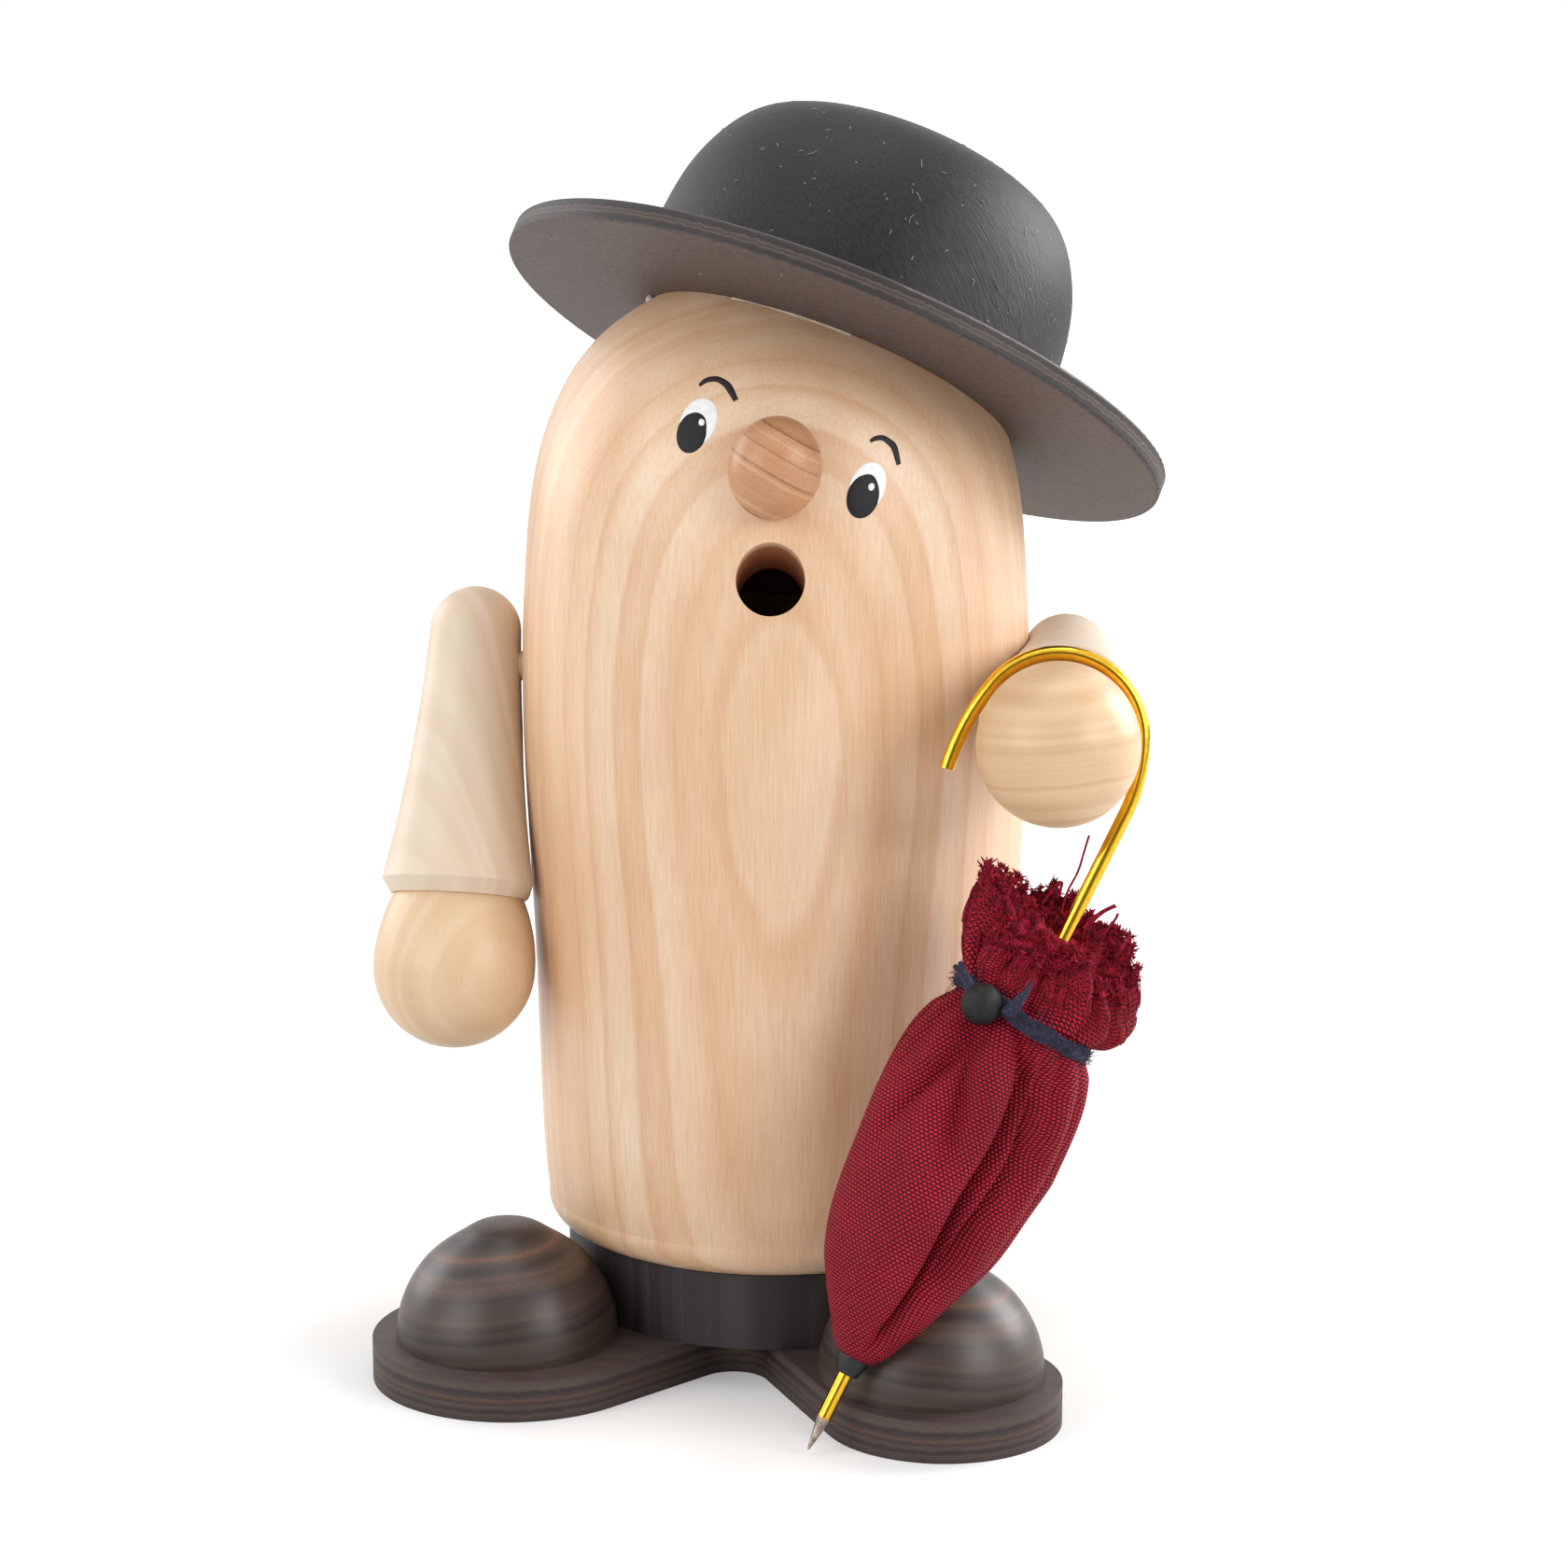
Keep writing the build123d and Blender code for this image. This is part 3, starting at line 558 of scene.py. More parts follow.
def painted_stroke(surface, name, points, widths, proud, finish):
    """One brush stroke through points of (side, height), with its width at each."""
    near, rim_share = 0.05, 0.2
    rows = [(i, *point, width) for i, (point, width) in enumerate(zip(points, widths))]
    last = len(points) - 1
    bm = bmesh.new()
    bmesh.ops.create_grid(bm, x_segments=28, y_segments=4, size=0.5)
    for vert in bm.verts:
        at = (vert.co.x + 0.5) * last
        side, height, width = between(rows, at)
        later = between(rows, min(at + near, last))
        sooner = between(rows, max(at - near, 0))
        run = Vector((later[0] - sooner[0], later[1] - sooner[1])).normalized()
        off = vert.co.y * width
        rise = 1.0 - (2 * vert.co.y) ** 4
        rise = proud * (rim_share + (1 - rim_share) * rise)
        vert.co = on_barrel(surface, side - run.y * off, height + run.x * off, rise)
    return new_piece(name, bm, finish, "figure")


def paint_face():
    """Two eyes, each a white, a pupil and a spot of light, and two eyebrows. Places are (side, height)."""
    white_proud, pupil_proud, light_proud, eyebrow_proud = 0.06, 0.11, 0.16, 0.08
    surface = surface_of("body")
    white = plain_finish("acrylic_paint_white", "#EDEDEE", "#F6F6F6", 0.7, 0.38, 0.25)
    black = plain_finish("acrylic_paint_black", "#0A0B0D", "#141518", 0.5, 0.55, 0.4, specular=0.3)
    brown = plain_finish("acrylic_paint_brown_black", "#1A1113", "#2B1F20", 0.5, 0.55, 0.4, specular=0.3)
    # of each white and pupil: its middle, half its width, half its height and its lean; then the light
    eyes = {
        "left": ((-10.05, 129.05), 2.3, 3.2, 33.0, (-10.80, 127.88), 2.0, 2.66, 25.0, (-9.50, 129.1), 0.43),
        "right": ((12.0, 121.1), 2.4, 3.2, 28.0, (11.43, 120.10), 2.2, 2.88, 21.0, (12.5, 121.15), 0.48),
    }
    for side, (white_at, w, h, lean, pupil_at, pw, ph, pupil_lean, light_at, light) in eyes.items():
        painted_oval(surface, f"eye_white_{side}", white_at, w, h, lean, white_proud, white)
        painted_oval(surface, f"pupil_{side}", pupil_at, pw, ph, pupil_lean, pupil_proud, black)
        painted_oval(surface, f"eye_light_{side}", light_at, light, light * 1.1, 0.0, light_proud, white)
    eyebrows = {
        "left": [(-9.87, 133.54), (-8.91, 134.17), (-7.64, 134.36), (-6.66, 134.01), (-5.87, 133.35),
                 (-4.98, 131.86)],
        "right": [(12.38, 126.72), (13.16, 127.04), (14.19, 127.04), (15.1, 126.52), (15.87, 125.74),
                  (16.48, 123.66)],
    }
    widths = [0.4, 0.6, 0.68, 0.8, 0.95, 0.7]
    for side, points in eyebrows.items():
        painted_stroke(surface, f"eyebrow_{side}", points, widths, eyebrow_proud, brown)


# Umbrella cloth: one gathered sheet, from its lower end to the frayed frill above the tie

CLOTH_START = 13.2
TIE_AT = 61.4
REACH_END = 78.0
# along the wire, then the reach to the right, left, front and back
CLOTH_REACH = [
    (13.2, 2.5, 2.4, 2.4, 2.3),
    (14.2, 3.3, 3.4, 3.7, 2.35),
    (16.0, 4.4, 4.7, 4.9, 2.3),
    (19.8, 6.4, 7.3, 7.1, 2.4),
    (24.5, 8.3, 9.9, 9.3, 3.2),
    (31.4, 10.9, 11.8, 11.0, 6.0),
    (38.9, 12.1, 12.8, 11.7, 8.2),
    (46.4, 13.0, 13.4, 11.8, 9.0),
    (53.6, 12.7, 13.1, 11.2, 9.0),
    (58.0, 11.4, 11.9, 10.1, 8.4),
    (61.4, 9.2, 9.8, 8.7, 7.3),
    (64.5, 11.8, 10.4, 9.3, 8.0),
    (68.5, 13.3, 12.2, 10.4, 8.6),
    (72.5, 13.2, 13.5, 10.6, 9.0),
    (REACH_END, 11.5, 13.9, 10.2, 9.2),
]
# where the frill's edge ends, round the cloth from the right towards the front
RIM_HEIGHT = [
    (0, 71.6), (18, 69.0), (32, 67.6), (45, 69.8), (62, 71.0), (78, 69.6), (92, 68.4), (112, 68.2),
    (132, 68.4), (146, 70.8), (157, 75.2), (172, 76.4), (195, 76.2), (215, 74.8), (240, 77.0), (262, 77.8),
    (285, 76.2), (305, 76.4), (325, 76.2), (345, 74.2), (360, 71.6),
]
# valleys of the folds: half width, then (along, angle from the right towards the front, depth)
VALLEYS = [
    (1.5, [(14, 78, 0.2), (19, 76, 2.2), (25, 77, 4.2), (36, 79.5, 5.6), (46.5, 76, 5.2), (54, 80, 3.6),
           (58.5, 92, 2.4), (61.4, 96, 0.9), (66, 96, 2.6), (78, 95, 5.5)]),
    (2.2, [(17, 62, 0.2), (26, 62, 1.8), (31.7, 60, 4.2), (43.7, 54.5, 5.4), (51.3, 58, 4.0), (57, 64, 2.4),
           (61.4, 69, 0.8), (66, 70, 2.2), (78, 68, 5.0)]),
    (2.0, [(38, 146, 0.0), (42.7, 142.5, 1.2), (51.3, 132, 3.0), (56.4, 128.8, 2.8), (61.4, 127, 0.9),
           (66, 127, 1.8), (78, 126, 4.5)]),
    (1.8, [(36, 96, 0.0), (41.5, 99.7, 1.2), (47.3, 106.7, 2.3), (54.1, 115, 2.0), (61.4, 112, 0.8),
           (66, 111, 1.5), (78, 110, 4.0)]),
    (1.4, [(30, 36, 0.0), (40, 38, 0.8), (50, 42, 1.6), (57, 48, 1.6), (61.4, 50, 0.9), (66, 50, 2.0),
           (78, 48, 5.0)]),
    (1.3, [(46, 64, 0.0), (52, 70, 0.9), (57, 79, 1.3), (61.4, 83, 0.8), (66, 83, 1.4), (78, 82, 3.5)]),
    (1.6, [(16, 20, 0.2), (26, 16, 1.2), (40, 16, 1.9), (52, 22, 2.0), (61.4, 29, 0.9), (66, 29, 2.2),
           (78, 28, 4.8)]),
    (1.4, [(44, 0, 0.0), (52, 2, 1.2), (61.4, 7, 0.8), (66, 7, 2.0), (78, 6, 4.5)]),
    (1.4, [(46, 158, 0.0), (54, 153, 1.0), (61.4, 149, 0.8), (66, 149, 1.8), (78, 148, 5.0)]),
    (1.5, [(30, 184, 0.0), (44, 180, 1.1), (54, 175, 1.5), (61.4, 171, 0.9), (66, 171, 2.0), (78, 172, 4.0)]),
    (1.9, [(16, 214, 0.2), (28, 212, 1.4), (42, 206, 2.3), (54, 200, 1.9), (61.4, 195, 0.9), (66, 195, 2.2),
           (78, 196, 4.8)]),
    (1.5, [(44, 226, 0.0), (54, 222, 1.2), (61.4, 219, 0.8), (66, 219, 1.8), (78, 219, 4.4)]),
    (1.9, [(22, 252, 0.0), (34, 250, 1.5), (48, 246, 1.9), (61.4, 243, 0.9), (66, 243, 2.0), (78, 242, 4.4)]),
    (1.4, [(46, 274, 0.0), (54, 270, 1.1), (61.4, 268, 0.8), (66, 268, 1.8), (78, 268, 4.0)]),
    (1.9, [(22, 300, 0.0), (34, 298, 1.6), (48, 295, 1.9), (61.4, 293, 0.9), (66, 293, 2.2), (78, 292, 4.6)]),
    (1.4, [(46, 322, 0.0), (54, 320, 1.1), (61.4, 318, 0.8), (66, 318, 1.8), (78, 318, 4.2)]),
    (1.6, [(20, 342, 0.0), (32, 342, 1.4), (48, 342, 1.8), (61.4, 342, 0.9), (66, 342, 2.0), (78, 341, 4.4)]),
]
# how far a valley's left side hangs over it, as a share of its depth
LIP_SHARE = 0.30
CANOPY_ROWS = 104
FRILL_ROWS = 34
CLOTH_COLUMNS = 300
# how far up the wire the torn folds inside the frill reach
HEAP_CORE = 72.6
TUFT_STRANDS = 14


def umbrella_place(along, right, front):
    """A place of the umbrella's own frame, in millimetres of the whole object."""
    return TIP + ALONG * along + ACROSS * right + FRONT * front


ring_store = {}


def cloth_ring(along):
    """The cloth's reach and its valleys at one place along the wire, worked out once."""
    key = round(along, 4)
    if key not in ring_store:
        valleys = [(width, *between(path, along)) for width, path in VALLEYS if along > path[0][0]]
        ring_store[key] = between(CLOTH_REACH, along), valleys
    return ring_store[key]


def cloth_point(angle, along, ring, share_up_frill):
    """A point of the gathered cloth: an oval section with its valleys pressed in."""
    (right, left, front, back), valleys = ring
    valley_end = 3.5
    wire_room = 1.9
    x, y = cos(radians(angle)), sin(radians(angle))
    x *= right if x > 0 else left
    y *= front if y > 0 else back
    radius = Vector((x, y)).length
    inset, drift = 0.0, 0.0
    for width, valley_angle, depth in valleys:
        away = (angle - valley_angle + 180) % 360 - 180
        gap = radians(away) * radius / width
        if abs(gap) < valley_end:
            inset += depth * exp(-(abs(gap) ** 1.6))
        if 0 < gap < valley_end:
            drift += LIP_SHARE * depth * exp(-1.6 * (gap - 1.0) ** 2)
    inset = min(inset, radius - wire_room)
    crumple = 0.35 * share_up_frill * sin(angle * 0.31 + along * 1.1) * sin(angle * 0.17 - along * 0.7)
    keep = (radius - inset + crumple) / radius
    turn = -drift * (1.0 - share_up_frill) / radius
    x, y = x * keep, y * keep
    return x * cos(turn) - y * sin(turn), x * sin(turn) + y * cos(turn)


def rim_raggedness(column):
    """How far the torn edge stands above or below its line at a column."""
    return 0.45 * sin(column * 0.83) + 0.35 * sin(column * 2.17 + 1.0) + 0.25 * sin(column * 0.29 + 2.0)


def cloth_grid_place(column, row):
    """The place of one grid crossing, in the umbrella's own frame: along, right and front."""
    angle = (270.0 + 360.0 * column / CLOTH_COLUMNS) % 360.0
    if row <= CANOPY_ROWS:
        along = CLOTH_START + (TIE_AT - CLOTH_START) * (row / CANOPY_ROWS)
        right, front = cloth_point(angle, along, cloth_ring(along), 0.0)
        return along, right, front
    share = (row - CANOPY_ROWS) / FRILL_ROWS
    rim = between(RIM_HEIGHT, angle)[0] + rim_raggedness(column) * share
    along = TIE_AT + (rim - TIE_AT) * share
    reach_at = TIE_AT + (REACH_END - TIE_AT) * share ** 0.8
    right, front = cloth_point(angle, along, cloth_ring(reach_at), share)
    return along, right, front


def closed_cloth(name, bm, finish):
    """A piece of cloth that goes once round the wire, with its two ends joined."""
    weld = 0.02
    bmesh.ops.remove_doubles(bm, verts=bm.verts, dist=weld * MM)
    bmesh.ops.recalc_face_normals(bm, faces=bm.faces)
    return new_piece(name, bm, finish, "umbrella")


def gathered_cloth(finish):
    """The sheet starts as a flat grid and is wrapped round the wire, gathered, and mapped in millimetres."""
    reference_angle, cloth_thickness = 115, 0.35
    rows = CANOPY_ROWS + FRILL_ROWS
    bm = bmesh.new()
    bmesh.ops.create_grid(bm, x_segments=CLOTH_COLUMNS, y_segments=rows, size=0.5)
    bm.verts.ensure_lookup_table()
    places = {}
    for vert in bm.verts:
        column = round((vert.co.x + 0.5) * CLOTH_COLUMNS)
        row = round((vert.co.y + 0.5) * rows)
        places[(column, row)] = vert
        vert.co = umbrella_place(*cloth_grid_place(column, row))
    # lengths are counted round from the column in front, so that the weave runs true there
    reference = round(CLOTH_COLUMNS * (reference_angle + 90) / 360)
    map_mm = {}
    up = 0.0
    for row in range(rows + 1):
        if row:
            up += (places[(reference, row)].co - places[(reference, row - 1)].co).length
        lengths = [0.0]
        for column in range(1, CLOTH_COLUMNS + 1):
            step = (places[(column, row)].co - places[(column - 1, row)].co).length
            lengths.append(lengths[-1] + step)
        for column in range(CLOTH_COLUMNS + 1):
            map_mm[places[(column, row)]] = (lengths[column] - lengths[reference], up)
    cloth_map = bm.loops.layers.uv.new("cloth_mm")
    for face in bm.faces:
        for loop in face.loops:
            loop[cloth_map].uv = map_mm[loop.vert]
    for vert in bm.verts:
        vert.co *= MM
    cloth = closed_cloth("umbrella_gathered_cloth", bm, finish)
    thickness = cloth.modifiers.new("cloth thickness", "SOLIDIFY")
    thickness.thickness = cloth_thickness * MM
    thickness.offset = -1.0
    return cloth


def yarn_tuft(place, up, size):
    """The end of one torn yarn: short strands that curl out of one place."""
    paths = []
    for _ in range(TUFT_STRANDS):
        out = (up * 0.6 + Vector([random.gauss(0, 0.55) for _ in range(3)])).normalized()
        curl = Vector([random.gauss(0, 0.5) for _ in range(3)])
        length = size * random.uniform(0.6, 1.2)
        points = [place, place + (out * 0.6 + curl * 0.25) * length, place + (out + curl * 0.5) * length]
        thick = random.uniform(0.08, 0.13)
        paths.append([(umbrella_place(*p), thick * t) for p, t in zip(points, (1.1, 1.0, 0.7))])
    return paths


def frayed_edge(finish):
    """Tufts of torn yarn all along the edge, and threads that lie on the frill just below it."""
    tufts, lying_threads = 330, 260
    proud, row_step = 1.012, 3.2
    top = CANOPY_ROWS + FRILL_ROWS
    paths = []
    for _ in range(tufts):
        column = random.uniform(0, CLOTH_COLUMNS)
        down = random.choice((0, 0, 1, 3))
        base = Vector(cloth_grid_place(column, top - down))
        below = Vector(cloth_grid_place(column, top - down - 3))
        paths += yarn_tuft(base, (base - below).normalized(), random.uniform(0.55, 1.05))
    for _ in range(lying_threads):
        column = random.uniform(0, CLOTH_COLUMNS)
        start = top - random.uniform(8, 26)
        line = []
        for step in range(4):
            along, right, front = cloth_grid_place(column + random.gauss(0, 0.35), start + step * row_step)
            line.append((umbrella_place(along, right * proud, front * proud), random.uniform(0.06, 0.09)))
        paths.append(line)
    return threads_piece("umbrella_frayed_edge", paths, finish, "umbrella",
                         sides=0, steps=2)


def heap_place(angle, share):
    """A place on the torn cloth inside the frill, from the wire out to the edge: along, right and front."""
    inside, round_wire = 0.95, 1.3
    column = ((angle - 270.0) % 360.0) / 360.0 * CLOTH_COLUMNS
    rim, right, front = cloth_grid_place(column, CANOPY_ROWS + FRILL_ROWS - 3)
    waves = sin(radians(angle) * 5 + share * 9) + 0.6 * sin(radians(angle) * 9 - share * 14)
    along = HEAP_CORE * (1 - share) + (rim - 0.4) * share + 0.65 * sin(pi * share) * waves
    x = right * share * inside + round_wire * (1 - share) * cos(radians(angle))
    y = front * share * inside + round_wire * (1 - share) * sin(radians(angle))
    return along, x, y


def torn_heap(finish):
    """The torn inner folds, pushed together round the wire, with tufts of yarn all over them."""
    tuft_count = 480
    bm = bmesh.new()
    bmesh.ops.create_grid(bm, x_segments=160, y_segments=26, size=0.5)
    for vert in bm.verts:
        angle, share = (vert.co.x + 0.5) * 360.0, vert.co.y + 0.5
        vert.co = umbrella_place(*heap_place(angle, share)) * MM
    heap = closed_cloth("umbrella_torn_folds", bm, finish)
    paths = []
    up = Vector((1.0, 0.0, 0.0))
    for _ in range(tuft_count):
        angle, share = random.uniform(0, 360), random.uniform(0.12, 1.0) ** 0.6
        paths += yarn_tuft(Vector(heap_place(angle, share)), up, random.uniform(0.6, 1.1))
    tufts = threads_piece("umbrella_torn_tufts", paths, finish, "umbrella",
                          sides=0, steps=2)
    return heap, tufts


def loose_threads(finish):
    """A few long yarns that have come out of the torn edge, each by its places along, right and front."""
    yarn_radius = 0.18
    lines = [
        [(75.4, -1.4, -3.6), (77.9, -2.0, -4.0), (81.1, -1.7, -4.0), (83.5, -2.2, -4.0), (86.0, -2.6, -4.0)],
        [(75.5, -4.1, -4.0), (77.8, -3.7, -4.0), (79.0, -3.3, -4.0), (79.1, -2.8, -4.0), (77.0, -2.7, -4.0)],
        [(75.0, 1.9, -3.0), (76.9, 2.5, -3.0), (78.3, 3.3, -3.0), (79.5, 4.3, -3.0)],
        [(74.8, 2.2, -3.0), (76.8, 2.8, -3.0), (78.5, 3.6, -3.0), (79.4, 4.5, -3.0)],
        [(75.4, 4.5, -2.0), (76.9, 4.8, -2.0), (78.0, 5.1, -2.0), (78.7, 5.0, -2.0)],
        [(74.4, 7.2, -0.5), (75.5, 7.3, 0.0), (77.0, 7.4, 0.0)],
    ]
    paths = [[(umbrella_place(*p), yarn_radius) for p in line] for line in lines]
    return threads_piece("umbrella_loose_threads", paths, finish, "umbrella")


def yarn_tie(finish):
    """The yarn round the waist, pulled tight, with its loose hairs and its knot's ends beside the bead."""
    ring_radius, slope, sunk = 4.0, 0.105, 0.15
    yarn_flatness = 0.62
    hair_count, hair_radius, hair_clearance = 420, 0.035, 0.4
    bm = bmesh.new()
    ring = bmesh.ops.create_circle(bm, radius=1.0, segments=14)["verts"]
    bmesh.ops.rotate(bm, verts=ring, cent=(0, 0, 0), matrix=Matrix.Rotation(radians(90), 3, "X"))
    bmesh.ops.translate(bm, verts=ring, vec=(ring_radius, 0, 0))
    bmesh.ops.spin(bm, geom=bm.verts[:] + bm.edges[:], cent=(0, 0, 0), axis=(0, 0, 1), angle=2 * pi,
                   steps=96, use_merge=True)
    reach = between(CLOTH_REACH, TIE_AT)
    for vert in bm.verts:
        flat = Vector((vert.co.x, vert.co.y, 0))
        out = flat.normalized()
        off = (flat.length - ring_radius) * yarn_flatness - sunk
        angle = flat.xy.angle_signed(Vector((1, 0)), 0.0)
        right = reach[0] if out.x > 0 else reach[1]
        front = reach[2] if out.y > 0 else reach[3]
        slump = 0.25 * sin(angle * 3 + 0.6) + 0.15 * sin(angle * 7)
        width = 1.05 + 0.12 * sin(angle * 5) + 0.08 * sin(angle * 11)
        x = out.x * (right + off)
        y = out.y * (front + off)
        along = TIE_AT + vert.co.z * width + slump - x * slope
        vert.co = umbrella_place(along, x, y) * MM
    bmesh.ops.recalc_face_normals(bm, faces=bm.faces)
    tie = new_piece("umbrella_yarn_tie", bm, finish, "umbrella")
    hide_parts("umbrella_band")
    ends = [
        [(60.6, -6.6, 8.6), (61.6, -7.9, 8.4), (63.0, -9.4, 7.6), (64.4, -10.9, 7.0)],
        [(60.8, -6.9, 8.3), (62.2, -8.4, 8.0), (63.4, -9.9, 7.2), (63.6, -11.3, 6.6)],
        [(61.4, -2.6, 9.6), (63.0, -2.2, 10.0), (64.8, -1.9, 10.1), (66.2, -2.0, 9.9)],
        [(61.2, -3.0, 9.6), (62.8, -2.7, 9.9), (64.2, -2.3, 10.1), (65.4, -1.7, 10.0)],
    ]
    thick = [(0.75, 0.72, 0.6, 0.3)] * 2 + [(0.8, 0.62, 0.42, 0.2)] * 2
    paths = [[(umbrella_place(*p), t) for p, t in zip(line, widths)] for line, widths in zip(ends, thick)]
    for _ in range(hair_count):
        angle = random.uniform(0, 2 * pi)
        out = Vector((cos(angle), sin(angle)))
        right = (reach[0] if out.x > 0 else reach[1]) + hair_clearance
        front = (reach[2] if out.y > 0 else reach[3]) + hair_clearance
        x, y = out.x * right, out.y * front
        along = TIE_AT + random.uniform(-1.0, 1.0) - x * slope
        run = Vector((random.gauss(0, 0.7), -out.y + random.gauss(0, 0.3), out.x + random.gauss(0, 0.3)))
        swell = Vector((0, out.x, out.y)) * random.uniform(0.1, 0.45)
        start = Vector((along, x, y))
        length = random.uniform(0.6, 1.6)
        points = [start, start + run * length * 0.5 + swell, start + run * length + swell * 0.4]
        paths.append([(umbrella_place(*p), hair_radius) for p in points])
    ends_piece = threads_piece("umbrella_tie_ends", paths, finish, "umbrella")
    return tie, ends_piece


def dress_umbrella():
    """The cloth with all that belongs to it: the gathered sheet, its frayed edge, torn folds, loose threads
    and yarn tie.
    """
    frayed = frayed_cotton()
    yarn = navy_yarn()
    cloth = gathered_cloth(ribbed_cotton())
    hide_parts("umbrella_cloth")
    edge = frayed_edge(frayed)
    heap, tufts = torn_heap(frayed)
    loose = loose_threads(frayed)
    tie, ends = yarn_tie(yarn)


# Hat: lint and dried glue

def hat_dust():
    """Short pale fibres caught on the hat's matt stain."""
    fibre_count, outside, lowest, crown_middle = 190, 90.0, -0.35, 12
    fibre = plain_finish("cotton_lint_pale", "#9C9793", "#BDB8B4", 0.5, 0.8, 0.1)
    surfaces = [surface_of("hat_crown"), surface_of("hat_brim")]
    middle = BRIM_CENTRE + HAT_AXIS * crown_middle
    paths = []
    while len(paths) < fibre_count:
        out = Vector([random.gauss(0, 1) for _ in range(3)]).normalized()
        if out.dot(HAT_AXIS) < lowest:
            continue
        hits = [surface.ray_cast((middle + out * outside) * MM, -out) for surface in surfaces]
        hits = [hit for hit in hits if hit[0]]
        if not hits:
            continue
        place, normal, _, _ = min(hits, key=lambda hit: hit[3])
        if normal.dot(out) < 0:
            normal = -normal
        place = place / MM + normal * 0.04
        run = normal.cross(Vector([random.gauss(0, 1) for _ in range(3)])).normalized()
        bend = normal.cross(run) * random.uniform(-0.5, 0.5)
        length = random.choice((0.3, 0.4, 0.6, 0.6, 1.3))
        points = [place, place + (run * 0.5 + bend) * length + normal * 0.05, place + run * length]
        paths.append([(point, random.uniform(0.03, 0.05)) for point in points])
    threads_piece("hat_dust_fibres", paths, fibre, "figure", sides=0)


def hat_seat():
    """The points of the head's cut rim, where the brim rests."""
    level_within = 0.02
    points = [v.co / MM for v in nodes["body"].data.vertices]
    return [v for v in points if abs((v - BRIM_CENTRE).dot(HAT_AXIS)) < level_within]


def glue_bead():
    """A bead of dried glue in the corner between the head and the brim."""
    glue = plain_finish("wood_glue_dried", "#A8A4A6", "#C2BEC0", 0.8, 0.3, 0.2)
    left_end = Vector((-17.5, 2.9, 142.8))
    corner = min(hat_seat(), key=lambda v: (v - left_end).length)
    out = Vector((corner.x, corner.y, 0.0)).normalized()
    bm = bmesh.new()
    for size, drop in ((0.9, 0.5), (0.75, 1.2)):
        bead = bmesh.ops.create_icosphere(bm, subdivisions=3, radius=size)["verts"]
        bmesh.ops.scale(bm, verts=bead, vec=(0.75, 0.9, 1.1))
        bmesh.ops.translate(bm, verts=bead, vec=corner + out * 0.25 - HAT_AXIS * drop)
    bmesh.ops.scale(bm, verts=bm.verts, vec=(MM, MM, MM))
    new_piece("hat_glue_bead", bm, glue, "figure")


def glue_line():
    """A thin, uneven line of dried glue along the front of the hat's seat."""
    rim_radius = 14.0
    first_angle, last_angle = -1.1, 0.5
    glue = plain_finish("wood_glue_line", "#B9A58F", "#D6CDC4", 0.8, 0.35, 0.2)
    rim = {round(v.to_2d().angle_signed(Vector((0, -1))), 3): v for v in hat_seat()}
    places = [v for angle, v in sorted(rim.items())
              if v.to_2d().length > rim_radius and first_angle < angle < last_angle]
    line = []
    for v in places[::3]:
        out = Vector((v.x, v.y, 0)).normalized()
        line.append((v + out * 0.05 - HAT_AXIS * 0.08, random.uniform(0.10, 0.26)))
    threads_piece("hat_glue_line", [line], glue, "figure")


# Studio

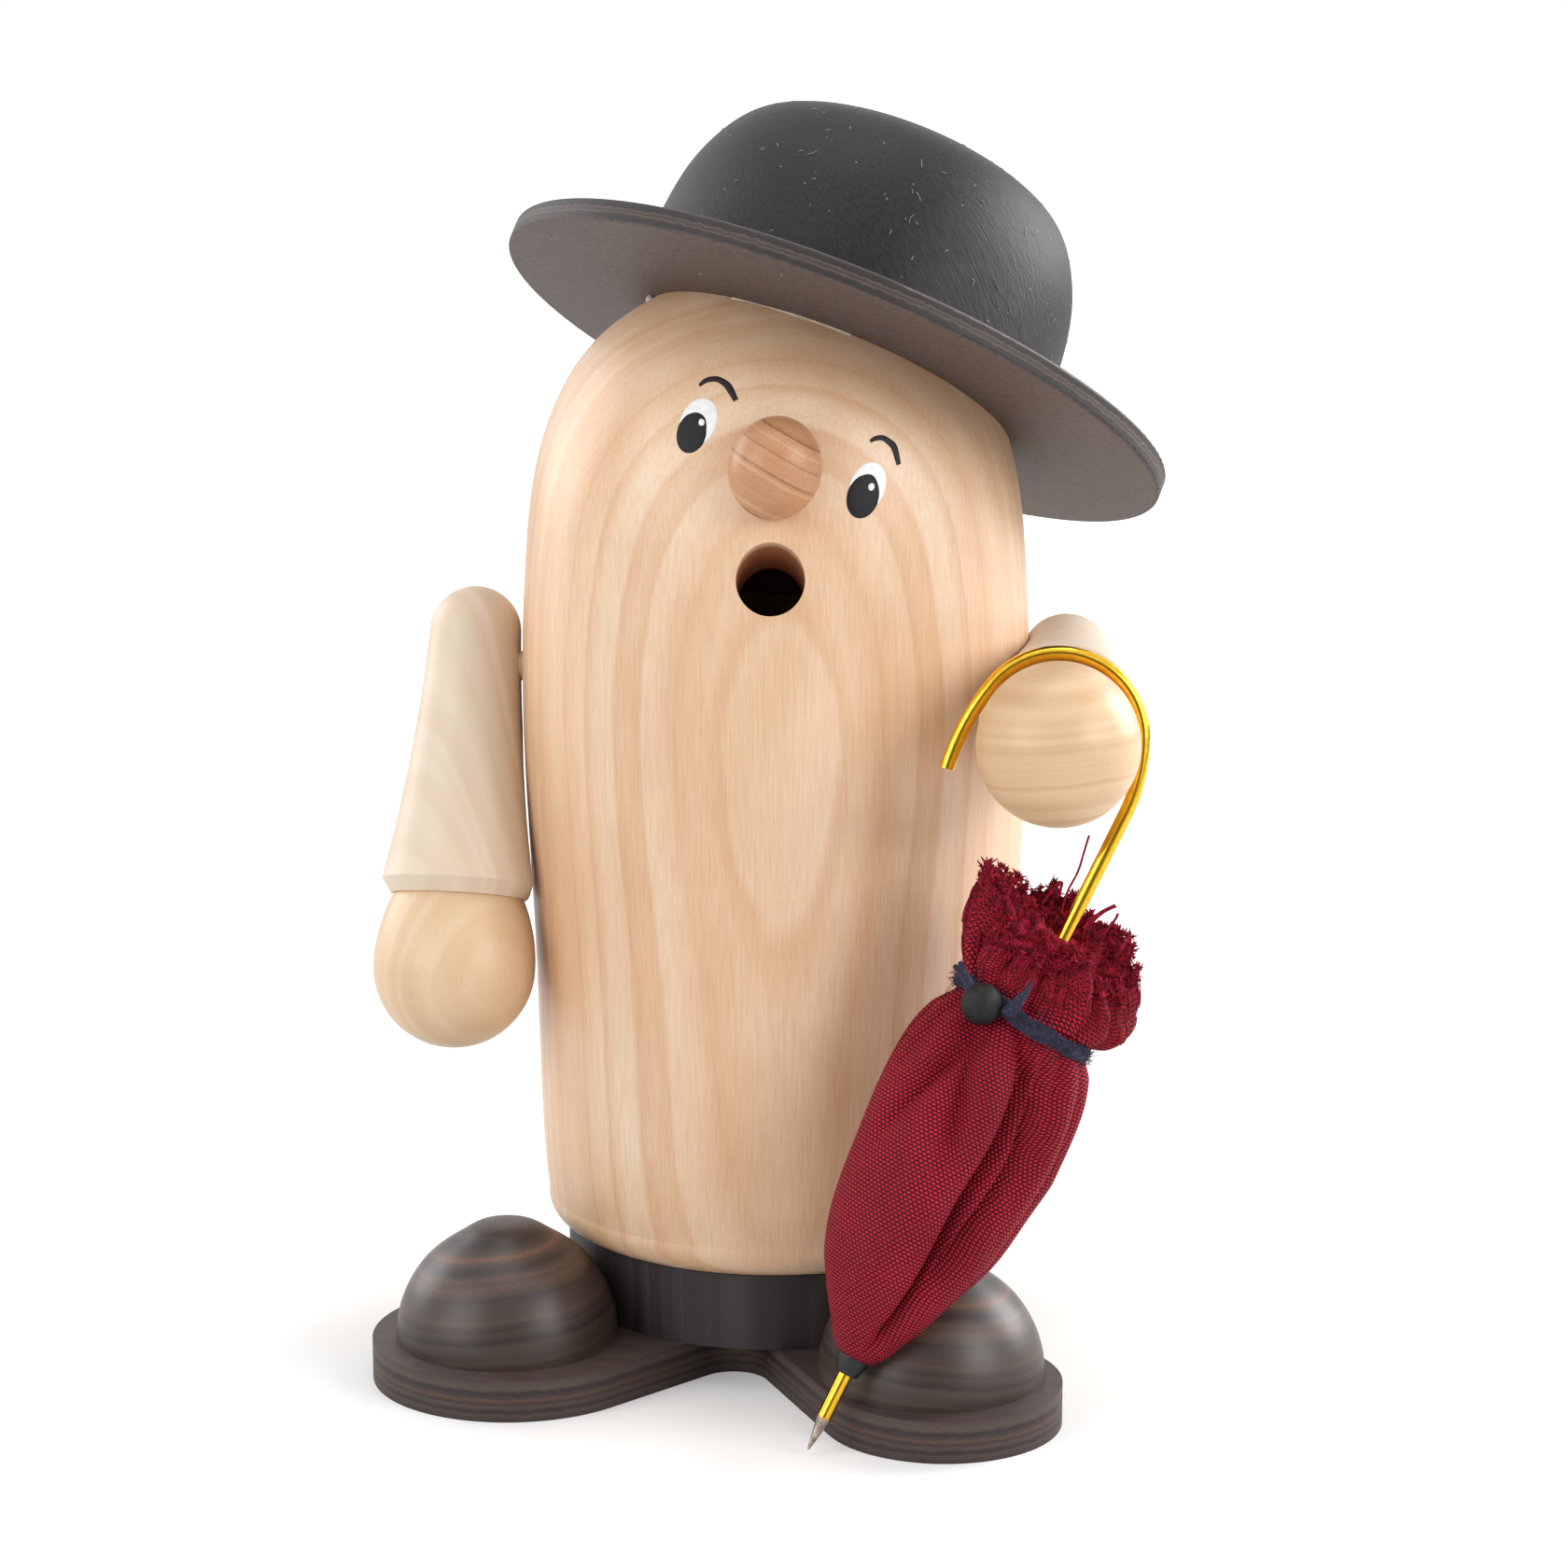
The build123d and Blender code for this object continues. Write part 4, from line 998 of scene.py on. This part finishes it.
def studio():
    """A white floor that keeps the object's shadow, five soft lamps, and a white surround."""
    ambient, dark_level, floor_tone = 0.50, 0.22, 0.78
    floor_near, floor_far, glow_near = 0.15, 0.9, 0.22
    scene = bpy.context.scene
    scene.view_settings.view_transform = "Standard"
    world = bpy.data.worlds.new("white_surround")
    scene.world = world
    world.use_nodes = True
    world.node_tree.nodes.clear()
    path = add(world, "LightPath")
    seen = add(world, "Math", [path.outputs["Is Camera Ray"], path.outputs["Is Glossy Ray"]],
               operation="MAXIMUM")
    seen = add(world, "Math", [seen, path.outputs["Is Transmission Ray"]], operation="MAXIMUM")
    level = add(world, "MapRange", [seen, 0.0, 1.0, ambient, 1.0])
    # a patch of the room behind the camera is darker, and only what is reflected shows it
    behind_camera, patch_rim, patch_core = (0.0, -0.98, 0.2), 0.86, 0.95
    direction = add(world, "TexCoord").outputs["Generated"]
    patch = add(world, "VectorMath", [direction, behind_camera], operation="DOT_PRODUCT")
    patch = add(world, "MapRange", [patch.outputs["Value"], patch_rim, patch_core, 1.0, dark_level])
    unlit = add(world, "MapRange", [path.outputs["Is Glossy Ray"], 0.0, 1.0, 1.0, patch])
    level = add(world, "Math", [level, unlit], operation="MULTIPLY")
    light = add(world, "Background", {"Color": colour("#FFFFFF"), "Strength": level})
    add(world, "OutputWorld", {"Surface": light})

    floor = material("studio_floor_white")
    path = add(floor, "LightPath")
    card = add(floor, "BsdfDiffuse", {"Color": (floor_tone, floor_tone, floor_tone, 1.0)})
    place = add(floor, "TexCoord").outputs["Object"]
    reach = add(floor, "VectorMath", [place], operation="LENGTH").outputs["Value"]
    level = add(floor, "MapRange", [reach, floor_near, floor_far, glow_near, 1.0])
    glow = add(floor, "Emission", {"Color": colour("#FFFFFF"), "Strength": level})
    lifted = add(floor, "AddShader", [card, glow])
    shown = add(floor, "MixShader", [path.outputs["Is Camera Ray"], card, lifted])
    add(floor, "OutputMaterial", {"Surface": shown})
    bm = bmesh.new()
    bmesh.ops.create_grid(bm, x_segments=1, y_segments=1, size=6.0)
    mesh = bpy.data.meshes.new("studio_floor")
    bm.to_mesh(mesh)
    bm.free()
    mesh.materials.append(floor)
    ground = new_object("studio_floor", mesh)

    middle = Vector((0.0, -0.01, 0.09))
    # each lamp's place, the length of its side and its power in watts
    for name, place, size, power in (
        ("softbox_front_left", (-0.66, -0.50, 0.40), 0.55, 2.7),
        ("softbox_front_right", (0.64, -0.46, 0.42), 0.42, 3.1),
        ("softbox_back_left", (-0.60, 0.34, 0.30), 0.40, 1.7),
        ("softbox_back_right", (0.62, 0.30, 0.34), 0.40, 4.3),
        ("softbox_top", (0.0, 0.0, 0.95), 0.50, 1.9),
    ):
        lamp = bpy.data.lights.new(name, "AREA")
        lamp.shape = "SQUARE"
        lamp.size = size
        lamp.energy = power
        stand = new_object(name, lamp)
        stand.location = place
        stand.rotation_euler = (middle - Vector(place)).to_track_quat("-Z", "Y").to_euler()

    camera_dip = 11.818
    lens = bpy.data.cameras.new("camera")
    lens.sensor_width = 36.0
    lens.lens = 90.0
    camera = new_object("camera", lens)
    camera.location = (0.001124, -0.523742, 0.186065)
    camera.rotation_euler = (radians(90.0 - camera_dip), 0.0, 0.0)
    scene.camera = camera


finish_nodes()
paint_face()
dress_umbrella()
glue_bead()
glue_line()
hat_dust()
studio()
